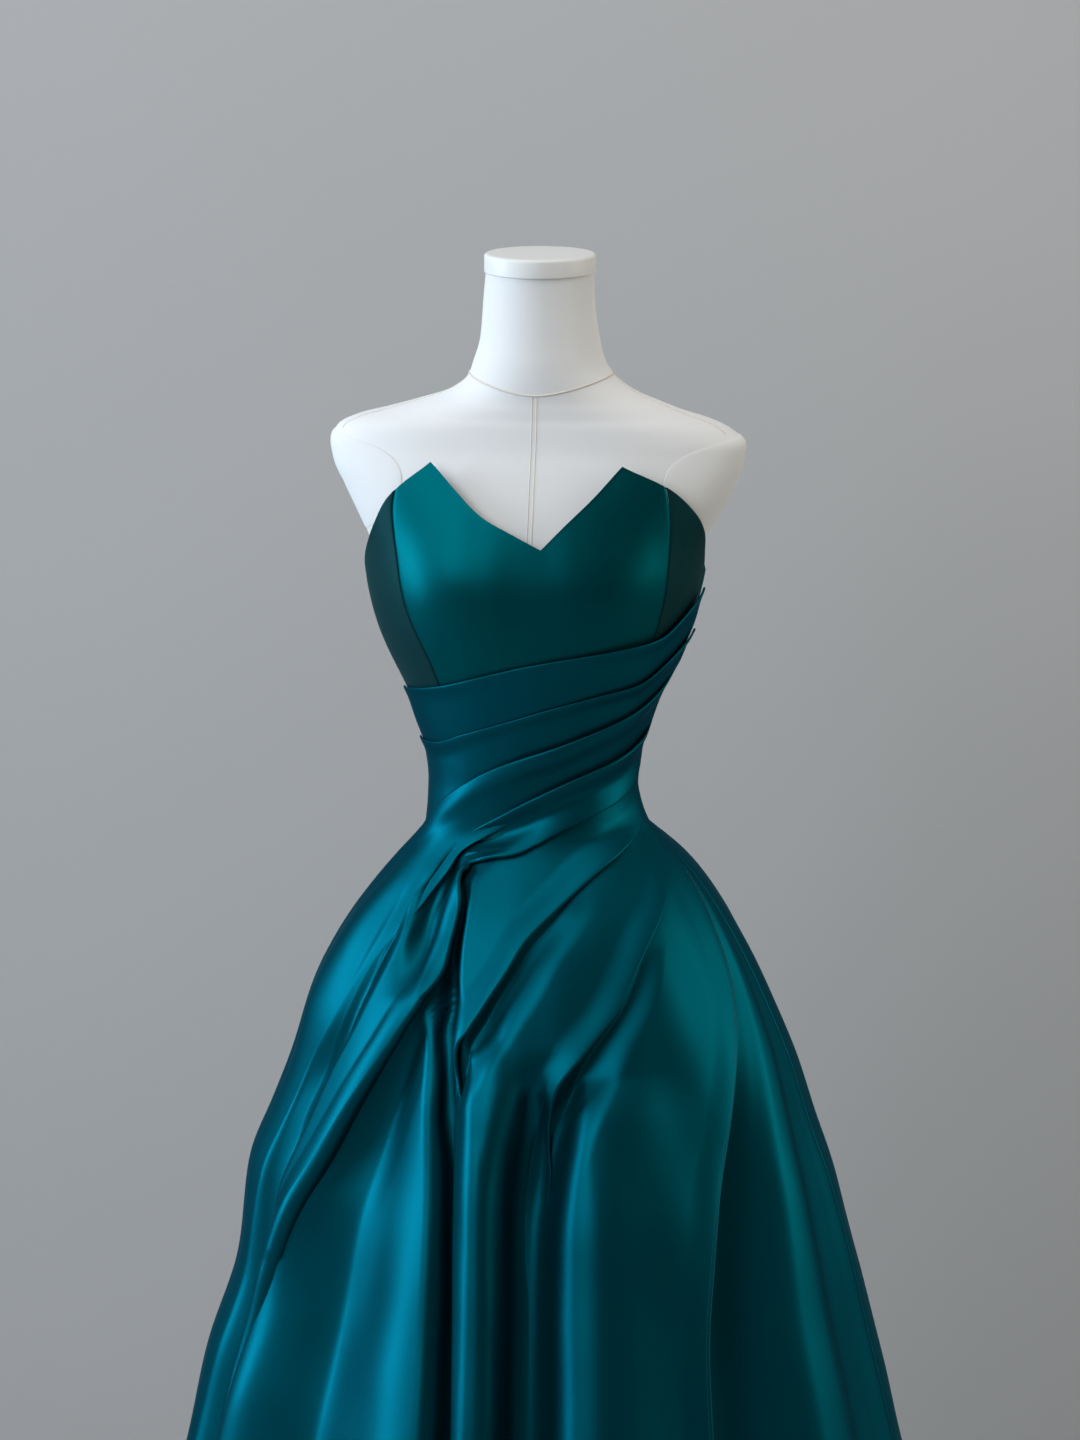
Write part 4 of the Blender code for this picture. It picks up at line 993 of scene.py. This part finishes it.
def bodice_surface(angle, height):
    """The bodice's surface, with the turn over the bust softened."""
    height = np.asarray(height, float)
    reach = np.clip(height - WAIST_SEAM - SEAM_GAP, 0.0, BUST_SOFTENING)
    total = 2.0 * garment(angle, height)
    for share in (0.5, 1.0):
        total = total + garment(angle, height - share * reach) + garment(angle, height + share * reach)
    return total / 6.0


def seam_shift(height):
    """Half a seam's gap, in degrees, at the bodice's mean radius."""
    return np.degrees(0.5 * SEAM_GAP / SEAM_RADIUS) * np.ones_like(height)


def bodice_panel(name, left_edge, right_edge, columns, rows, material, marks=()):
    """A panel of the bodice. Its top edge turns over in a small roll, and its seams sink a little."""
    across = shares(columns)
    top = top_edge(np.linspace(left_edge(BUST_LINE), right_edge(BUST_LINE), columns))
    for _ in range(4):
        start = left_edge(top[0])
        end = right_edge(top[-1])
        places = start + (end - start) * across
        for mark in marks:
            places[np.argmin(np.abs(places - mark))] = mark
        top = top_edge(places)
    part = ((places - start) / (end - start))[None, :]
    height = top[None, :] + (WAIST_SEAM + SEAM_GAP - top[None, :]) * shares(rows)[:, None]
    left = left_edge(height) + seam_shift(height)
    right = right_edge(height) - seam_shift(height)
    angle = left + (right - left) * part
    wide = np.radians(right - left) * BODICE_RADIUS
    from_side = np.minimum(part, 1.0 - part) * wide
    lift = uneven(angle, height, BODICE_UNEVEN) - BODICE_SEAM_SINK * np.exp(-from_side / BODICE_SEAM_WIDTH)
    grid = on_surface(bodice_surface, angle, height, lift)
    turns = np.radians(np.linspace(90.0, 0.0, 5))[:-1]
    normal = grid_normals(grid)
    up = np.array([0.0, 0.0, 1.0])
    radius = 0.5 * BODICE_SHEET
    rim = [grid[0] - normal[0] * radius * (1.0 - np.cos(t)) + up * radius * np.sin(t) for t in turns]
    grid = np.concatenate([np.stack(rim), grid])
    shell(name, grid, BODICE_SHEET, material, name)


def make_bodice(material, shaded_side_material):
    def line(rows):
        return lambda height: by_height(rows, "angle", height)

    left = line(PRINCESS_LEFT)
    right = line(PRINCESS_RIGHT)
    bodice_panel("bodice_front", left, right, 170, 90, material, TOP_PEAKS)
    # The side panels get the darker, greyer satin copy, with painted shade and sheen.
    bodice_panel("bodice_side_left", upright(-SIDE_SEAM), left, 44, 80, shaded_side_material)
    bodice_panel("bodice_side_right", right, upright(SIDE_SEAM), 44, 80, shaded_side_material)
    bodice_panel("bodice_back_left", zip_side(-1), upright(-SIDE_SEAM), 90, 70, material)
    bodice_panel("bodice_back_right", upright(SIDE_SEAM), zip_side(1), 90, 70, material)


def band(name, top_rows, bottom, stand, stand_right, columns, rows, material):
    """A pleat band. Its top edge is rolled over the layer above, and its lower part runs on under it."""
    angle = np.linspace(-SIDE_SEAM, SIDE_SEAM - 1.5, columns)[None, :]
    top = by_angle(top_rows, angle)
    down = shares(rows)[:, None]
    height = top + (bottom(angle) - top) * down
    below = top - height
    edge = 1.0 - eased(below / BAND_BLEND)
    to_right = eased((angle - 10.0) / 50.0) * (1.0 - 0.5 * eased((angle - 77.0) / 6.0))
    high = MM * (stand + (stand_right - stand) * to_right)
    lift = LAYER_LIFT + (high - LAYER_LIFT) * edge + uneven(angle, height, BAND_UNEVEN)
    pillow = np.sin(np.pi * np.clip(below / (top - bottom(angle)), 0.0, 1.0)) * BAND_PILLOW
    grid = on_surface(garment, angle, height, lift + pillow * (1.0 - edge))
    normal = grid_normals(grid)
    out = grid[0] - grid[1]
    out = out - normal[0] * np.sum(out * normal[0], axis=-1, keepdims=True)
    out = out / np.linalg.norm(out, axis=-1, keepdims=True)
    turns = np.radians(np.linspace(180.0, 0.0, 7))[:-1]
    rim = [grid[0] - out * BAND_MARGIN - normal[0] * 2.0 * BAND_ROLL]
    rim += [grid[0] + BAND_ROLL * (out * np.sin(t) - normal[0] * (1.0 - np.cos(t))) for t in turns]
    grid = np.concatenate([np.stack(rim), grid])
    shell(name, grid, DRAPE_SHEET, material, name)


def make_bands(material):
    def under_lower_band(angle):
        return by_angle(BAND_LOWER_TOP, angle) - TUCK

    def under_hip_fold(angle):
        return np.maximum(by_angle(HIP_FOLD_TOP, angle) - TUCK, WAIST_SEAM - 0.004)

    band("pleat_band_upper", BAND_UPPER_TOP, under_lower_band, 3.8, 6.0, 200, 26, material)
    band("pleat_band_lower", BAND_LOWER_TOP, under_hip_fold, 5.6, 7.4, 200, 30, material)


# ---- Sewing ----


def stitches(path):
    """Short threads along a path, with a gap after each."""
    path = np.asarray(path, float)
    length = np.concatenate([[0.0], np.cumsum(np.linalg.norm(np.diff(path, axis=0), axis=-1))])
    starts = np.arange(0.0, length[-1] - STITCH, STITCH + STITCH_GAP)
    pieces = []
    for start in starts:
        at = np.linspace(start, start + STITCH, 3)
        thread = np.stack([np.interp(at, length, path[:, k]) for k in range(3)], axis=-1)
        pieces.append(tube(thread, STITCH_RADIUS, sides=4))
    return pieces


def raised(grid, column, lift):
    """The points of one column of a grid, moved out by the lift."""
    return (grid + grid_normals(grid) * lift)[:, column]


def make_stitching(free_grid, material):
    """Two rows of stitches beside the overskirt's free edge, and one round the back of the hem."""
    pieces = []
    for column in FREE_EDGE_COLUMNS:
        path = raised(free_grid, column, STITCH_LIFT)
        pieces += stitches(path[path[:, 2] < FREE_STITCH_TOP])
    for start, end in ((SIDE_SEAM + 0.5, 179.0), (181.0, 359.5 - SIDE_SEAM)):
        angle = np.linspace(start, end, 700)
        pieces += stitches(on_surface(skirt_back, angle, HEM_HEIGHT + HEM_ALLOWANCE, HEM_STITCH_LIFT))
    joined("stitching", pieces, material)


def make_zip_teeth(material):
    """Two interlocking rows of small teeth on the zip's chain."""
    pieces = []
    quads = np.array([(0, 1, 2, 3), (7, 6, 5, 4), (0, 4, 5, 1), (1, 5, 6, 2), (2, 6, 7, 3), (3, 7, 4, 0)])
    top = by_angle(TOP_EDGE, 180.0) - ZIP_MARGIN
    for number, level in enumerate(np.arange(ZIP_BOTTOM + ZIP_MARGIN, top, TOOTH_PITCH)):
        side = 1.0 if number % 2 else -1.0
        half = np.degrees(TOOTH_WIDTH / skirt_back(180.0, level))
        turn = 180.0 + side * half * np.array([-0.25, 0.75, 0.75, -0.25])
        tall = level + TOOTH_PITCH * np.array([-0.38, -0.38, 0.38, 0.38])
        low = on_surface(skirt_back, turn, tall, -ZIP_RECESS - TOOTH_RISE)
        high = on_surface(skirt_back, turn, tall, TOOTH_RISE)
        pieces.append((np.concatenate([high, low]), quads))
    joined("zip_teeth", pieces, material)


# ---- The dress form ----


# The form's sections, closely spaced, for reading by height.
FORM_PROFILE = form_section(np.linspace(0, len(form_sections()) - 1, 600))


def form_radius(angle, height):
    order = np.argsort(FORM_PROFILE.height)
    level = FORM_PROFILE.height[order]
    sizes = (np.interp(height, level, values[order]) for values in FORM_PROFILE[1:])
    return rounded_radius(Section(height, *sizes), angle) + cups(angle, height)


def form_spots(angle, height, lift=0.0):
    return on_surface(form_radius, angle, height, lift)


def closed_rings(name, rings, material, slot, node, cap_low, cap_high):
    """A closed body from rings of points, highest first, with flat fans at both ends."""
    count = rings.shape[1]
    rows = len(rings)
    points = np.concatenate([rings.reshape(-1, 3), [cap_high], [cap_low]])
    index = np.arange(rows * count).reshape(rows, count)
    after = np.roll(index, -1, axis=1)
    quads = np.stack([index[:-1], index[1:], after[1:], after[:-1]], -1).reshape(-1, 4)
    mesh = bpy.data.meshes.new(name)
    faces = [tuple(q) for q in quads.tolist()]
    faces += [(rows * count, a, b) for a, b in zip(index[0].tolist(), after[0].tolist())]
    faces += [(rows * count + 1, b, a) for a, b in zip(index[-1].tolist(), after[-1].tolist())]
    mesh.from_pydata(points.tolist(), [], faces)
    mesh.validate()
    mesh.shade_smooth()
    mesh.set_sharp_from_angle(angle=np.radians(50))
    mesh.materials.append(material)
    item = added(name, mesh)
    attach(item, "dress")
    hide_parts(node)


def make_form_torso(material):
    sides = 120
    turn = np.arange(sides) * 2.0 * np.pi / sides
    rings = []
    last = len(form_sections()) - 1
    for place in np.linspace(0.0, last, 150):
        section = form_section(place)
        flat = min((section.left + section.right) / (section.front + section.back), FORM_CROWDING)
        angles = np.degrees(np.arctan2(max(flat, 1.0) * np.sin(turn), np.cos(turn)))
        rings.append(form_points(section, angles))
    ends = (0.0, 0.0, FORM_BOTTOM), (0.0, 0.0, NECK_TOP)
    closed_rings("form_body", np.array(rings), material, "form_cloth", "form_torso", *ends)


def tube(path, radius, sides=6, closed=False):
    """Points and quads of a thin round tube along a path."""
    path = np.asarray(path, float)
    ahead = np.roll(path, -1, axis=0) - np.roll(path, 1, axis=0)
    if not closed:
        ahead[0] = path[1] - path[0]
        ahead[-1] = path[-1] - path[-2]
    ahead = ahead / np.linalg.norm(ahead, axis=-1, keepdims=True)
    out = path * np.array([1.0, 1.0, 0.0])
    out = out - ahead * np.sum(out * ahead, axis=-1, keepdims=True)
    out = out / np.linalg.norm(out, axis=-1, keepdims=True)
    side = np.cross(ahead, out)
    turns = np.arange(sides) * 2.0 * np.pi / sides
    spokes = out[:, None] * np.cos(turns)[:, None] + side[:, None] * np.sin(turns)[:, None]
    rings = path[:, None] + radius * spokes
    count = len(path)
    index = np.arange(count * sides).reshape(count, sides)
    across = np.roll(index, -1, axis=1)
    rows = count if closed else count - 1
    ahead_index = np.roll(index, -1, axis=0)
    ahead_across = np.roll(across, -1, axis=0)
    quads = np.stack([index, across, ahead_across, ahead_index], -1)[:rows].reshape(-1, 4)
    return rings.reshape(-1, 3), quads


def joined(name, pieces, material):
    """One object from several (points, quads) pairs."""
    points = np.concatenate([piece[0] for piece in pieces])
    starts = np.cumsum([0] + [len(piece[0]) for piece in pieces[:-1]])
    quads = np.concatenate([piece[1] + start for piece, start in zip(pieces, starts)])
    item = fast_mesh(name, points, quads, points[:, [0, 2]], material)
    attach(item, "dress")


def make_form_seams(material):
    """Fine raised seams: the neck's base, the shoulders, and double ones down the front and the back."""
    around = np.linspace(-180.0, 180.0, 160, endpoint=False)
    rise = NECK_SEAM_SIDE_RISE * eased(np.abs(around) / 80.0)
    rise = rise + NECK_SEAM_BACK_RISE * eased((np.abs(around) - 80.0) / 80.0)
    neck = form_spots(around, NECK_SEAM_HEIGHT + rise, 0.0001)
    pieces = [tube(neck, NECK_SEAM_RADIUS, closed=True)]
    for seam in DOUBLE_SEAMS:
        down = np.linspace(seam.top, seam.bottom, 60)
        half = np.degrees(DOUBLE_SEAM / form_radius(seam.angle, down))
        for side in (-1, 1):
            pieces.append(tube(form_spots(seam.angle + side * half, down), FINE_SEAM_RADIUS))
    for side in (-1, 1):
        reach = np.linspace(0.0, 1.0, 40)
        height = SHOULDER_SEAM_TOP + (SHOULDER_SEAM_END - SHOULDER_SEAM_TOP) * reach
        angle = SHOULDER_SEAM_ANGLE + SHOULDER_SEAM_TURN * (1.0 - reach)
        pieces.append(tube(form_spots(side * angle, height), FINE_SEAM_RADIUS))
    joined("form_seams", pieces, material)


def turned_body(name, profile, material, slot):
    """A smooth round body from a profile of radii and heights, highest first."""
    turn = np.arange(ROUND_SIDES) * 2.0 * np.pi / ROUND_SIDES
    rings = np.array([[(r * np.sin(t), -r * np.cos(t), level) for t in turn] for r, level in profile])
    low = (0.0, 0.0, profile[-1][1])
    high = (0.0, 0.0, profile[0][1])
    closed_rings(name + "_round", rings, material, slot, name, low, high)


def rounded(radius, height, size, down):
    """The rounded edge of a round body, from its face to its side, or from its side to its lower face."""
    turns = np.radians(np.linspace(0.0, 90.0, 7))
    if down:
        return [(radius - size * (1 - np.cos(t)), height + size * (1 - np.sin(t))) for t in turns]
    return [(radius - size * (1 - np.sin(t)), height - size * (1 - np.cos(t))) for t in turns]


def make_round_parts(cap, metal):
    profile = [(CAP_RADIUS - CAP_FLAT, CAP_TOP)]
    profile += rounded(CAP_RADIUS, CAP_TOP, CAP_EDGE, False)
    profile += rounded(CAP_RADIUS, NECK_TOP + SEAM_GAP, CAP_LOWER_EDGE, True)
    turned_body("form_neck_cap", profile, cap, "cap_finish")
    profile = [(POLE_RADIUS, FORM_BOTTOM - SEAM_GAP), (POLE_RADIUS, SOCKET_FLOOR + SEAM_GAP)]
    turned_body("stand_pole", profile, metal, "stand_metal")
    profile = [(POLE_RADIUS + SEAM_GAP, COLLAR_TOP)]
    profile += rounded(COLLAR_RADIUS, COLLAR_TOP, COLLAR_EDGE, False)
    foot = BASE_THICKNESS + COLLAR_FILLET_RAISE
    for t in np.radians(np.linspace(0.0, 90.0, 7)):
        profile.append((COLLAR_RADIUS + COLLAR_FILLET * (1 - np.cos(t)), foot - COLLAR_FILLET * np.sin(t)))
    profile += rounded(BASE_RADIUS, BASE_THICKNESS, BASE_EDGE, False)
    profile += [(BASE_RADIUS, BASE_FOOT), (BASE_RADIUS - BASE_FOOT_INSET, 0.0)]
    turned_body("stand_base", profile, metal, "stand_metal")


def make_arm_plate(name, side, material):
    spokes = 72
    rings = 12
    turns = np.arange(spokes) * 2.0 * np.pi / spokes
    spread = np.sin(0.5 * np.pi * np.linspace(0.03, 1.0, rings))[:, None]
    height = ARM_PLATE_CENTRE + ARM_PLATE_HALF_HEIGHT * spread * np.sin(turns)[None, :]
    angle = side * (90.0 + ARM_PLATE_HALF_ANGLE * spread * np.cos(turns)[None, :])
    puff = ARM_PLATE_RAISE + ARM_PLATE_PUFF * np.sqrt(np.clip(1.0 - spread**4, 0.0, 1.0))
    outer = form_spots(angle, height, puff)
    rim = form_spots(angle[-1], height[-1], ARM_PLATE_SUNK)[None]
    grid = np.concatenate([outer, rim])
    if side < 0:
        grid = grid[:, ::-1]
    centre = form_spots(side * 90.0, ARM_PLATE_CENTRE, ARM_PLATE_MIDDLE)
    inside = form_spots(side * 90.0, ARM_PLATE_CENTRE, ARM_PLATE_SUNK)
    closed_rings(name, grid, material, "form_cloth", name, inside, centre)


# ---- Materials ----


def feed(tree, target, values):
    """Sets a node's inputs. A socket is linked, and anything else is the input's own value."""
    for name, value in values.items():
        if isinstance(value, bpy.types.NodeSocket):
            tree.links.new(value, target.inputs[name])
        else:
            target.inputs[name].default_value = value


def node(tree, kind, inputs, output):
    """A new node's output, with the node's inputs set."""
    item = tree.nodes.new(kind)
    feed(tree, item, inputs)
    return item.outputs[output]


def noise(tree, source, stretch, scale, detail, roughness=0.5):
    """A noise on a source of coordinates, such as the cloth's UV map."""
    coordinates = node(tree, "ShaderNodeTexCoord", {}, source)
    placed = node(tree, "ShaderNodeMapping", {"Vector": coordinates, "Scale": stretch}, "Vector")
    inputs = {"Vector": placed, "Scale": scale, "Detail": detail, "Roughness": roughness}
    return node(tree, "ShaderNodeTexNoise", inputs, "Fac")


def mixed(tree, factor, first, second):
    mix = tree.nodes.new("ShaderNodeMix")
    mix.data_type = "RGBA"
    tree.links.new(factor, mix.inputs["Factor"])
    mix.inputs[6].default_value = (*first, 1.0)
    mix.inputs[7].default_value = (*second, 1.0)
    return mix.outputs[2]


def ranged(tree, value, low, high):
    return node(tree, "ShaderNodeMapRange", {"Value": value, "To Min": low, "To Max": high}, "Result")


def bumped(tree, height, strength, distance):
    inputs = {"Height": height, "Strength": strength, "Distance": distance}
    return node(tree, "ShaderNodeBump", inputs, "Normal")


def material_of(name):
    material = bpy.data.materials.new(name)
    material.use_nodes = True
    tree = material.node_tree
    return material, tree, tree.nodes["Principled BSDF"]


def satin(name):
    """Heavy satin: a dark dyed ground under long floats that throw a broad, coloured gloss. Its copy for
    the bodice's side panels is darker and greyer, with painted shade and sheen.
    """
    look = SATINS[name]
    material, tree, shader = material_of(name)
    wide = noise(tree, "Object", (1.0, 1.0, 0.6), 5.0, 2.0)
    floats = noise(tree, "UV", (2600.0, 260.0, 1.0), 1.0, 3.0, 0.6)
    feed(tree, shader, {
        "Base Color": mixed(tree, ranged(tree, wide, -0.2, 1.2), look.colour, look.varied),
        "Roughness": ranged(tree, floats, look.roughness - 0.04, look.roughness + 0.04),
        "Normal": bumped(tree, floats, 0.2, 0.0001),
        "Metallic": look.metallic,
        "Specular IOR Level": 0.05,
        "Specular Tint": (0.0, 0.30, 0.36, 1.0),
        "Sheen Weight": look.sheen,
        "Sheen Roughness": 0.5,
        "Sheen Tint": (0.0, 0.6, 0.7, 1.0),
    })
    return material


def form_cotton(name, colour, varied):
    """The form's close, matt cover."""
    material, tree, shader = material_of(name)
    blotch = noise(tree, "Object", (1.0, 1.0, 1.0), 9.0, 4.0)
    weave = noise(tree, "Object", (1.0, 1.0, 1.0), 700.0, 2.0)
    feed(tree, shader, {
        "Base Color": mixed(tree, blotch, colour, varied),
        "Normal": bumped(tree, weave, 0.3, 0.0002),
        "Roughness": 0.85,
        "Sheen Weight": 0.15,
    })
    return material


def plain(name):
    """A smooth solid finish with faint mottling."""
    look = FINISHES[name]
    material, tree, shader = material_of(name)
    mottle = noise(tree, "Object", (1.0, 1.0, 1.0), look.scale, 4.0)
    feed(tree, shader, {
        "Base Color": mixed(tree, mottle, look.colour, look.varied),
        "Roughness": ranged(tree, mottle, look.roughness - 0.04, look.roughness + 0.06),
        "Metallic": look.metallic,
    })
    return material


def open_from_behind(material):
    """Lets the far side of a backdrop through, so that it hides nothing from behind."""
    tree = material.node_tree
    behind = node(tree, "ShaderNodeNewGeometry", {}, "Backfacing")
    clear = node(tree, "ShaderNodeBsdfTransparent", {}, "BSDF")
    paint = tree.nodes["Principled BSDF"].outputs["BSDF"]
    either = node(tree, "ShaderNodeMixShader", {0: behind, 1: paint, 2: clear}, "Shader")
    tree.links.new(either, tree.nodes["Material Output"].inputs["Surface"])


# ---- Room, lights and camera ----


def flat_sheet(name, corners, material):
    mesh = bpy.data.meshes.new(name)
    mesh.from_pydata(corners, [], [(0, 1, 2, 3)])
    mesh.materials.append(material)
    added(name, mesh)


def make_room():
    wall_paint = plain("wall_paint")
    open_from_behind(wall_paint)
    left_foot = (-ROOM_HALF_WIDTH, WALL_BEHIND, 0.0)
    right_foot = (ROOM_HALF_WIDTH, WALL_BEHIND, 0.0)
    near = [(-ROOM_HALF_WIDTH, ROOM_FRONT, 0.0), (ROOM_HALF_WIDTH, ROOM_FRONT, 0.0)]
    high = [(ROOM_HALF_WIDTH, WALL_BEHIND, ROOM_HEIGHT), (-ROOM_HALF_WIDTH, WALL_BEHIND, ROOM_HEIGHT)]
    flat_sheet("floor", near + [right_foot, left_foot], plain("floor_paint"))
    flat_sheet("backdrop", [left_foot, right_foot] + high, wall_paint)


def area_light(name, row):
    light = bpy.data.lights.new(name, "AREA")
    light.shape = "RECTANGLE"
    light.size = row.wide
    light.size_y = row.tall
    light.energy = row.power
    light.color = row.colour
    light.spread = np.radians(row.spread)
    item = added(name, light)
    item.location = row.place
    aim = np.array(row.target) - np.array(row.place)
    tilt = np.arctan2(np.hypot(aim[0], aim[1]), -aim[2])
    item.rotation_euler = (tilt, 0.0, np.arctan2(aim[0], -aim[1]) + np.pi)


def make_lights():
    for name, row in LIGHTS.items():
        area_light(name, row)
    world = bpy.data.worlds.new("room")
    world.use_nodes = True
    background = world.node_tree.nodes["Background"]
    background.inputs["Color"].default_value = WORLD_COLOUR
    background.inputs["Strength"].default_value = WORLD_STRENGTH
    bpy.context.scene.world = world
    bpy.context.scene.view_settings.view_transform = "Standard"


def make_camera():
    turn = np.radians(CAMERA_AZIMUTH)
    rise = np.radians(CAMERA_ELEVATION)
    camera = bpy.data.cameras.new("camera")
    camera.sensor_fit = "VERTICAL"
    camera.sensor_height = SENSOR
    camera.lens = SENSOR * CAMERA_DISTANCE / METRES_PER_PIXEL / PHOTO_HEIGHT
    item = added("camera", camera)
    level = CAMERA_DISTANCE * np.cos(rise)
    height = CAMERA_HEIGHT + CAMERA_DISTANCE * np.sin(rise)
    item.location = (level * np.sin(turn), -level * np.cos(turn), height)
    item.rotation_euler = (0.5 * np.pi - rise, 0.0, turn)
    bpy.context.scene.camera = item


# ---- The whole scene ----


def make_form():
    cotton = form_cotton("form_cotton", *COTTON)
    make_form_torso(cotton)
    make_form_seams(form_cotton("form_seam_cotton", *SEAM_COTTON))
    make_round_parts(plain("cap_lacquer"), plain("stand_metal"))
    make_arm_plate("form_arm_plate_left", -1, cotton)
    make_arm_plate("form_arm_plate_right", 1, cotton)


def make_dress():
    cloth = satin("satin")
    # The bodice's side panels use a darker copy of the satin with painted shade.
    make_bodice(satin("satin_bodice"), satin("satin_side"))
    make_bands(cloth)
    free_grid = make_overskirt(cloth)
    make_skirt(satin("satin_under"))
    make_stitching(free_grid, plain("thread"))


def make_zip():
    metal = plain("zip_metal")
    make_zip_teeth(metal)
    kept = {"zip_chain": plain("zip_tape"), "zip_slider": metal, "zip_pull": metal}
    for name, material in kept.items():
        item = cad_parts[name]
        item.data.materials.clear()
        item.data.materials.append(material)


def main():
    make_form()
    make_dress()
    make_zip()
    make_room()
    make_lights()
    make_camera()


main()
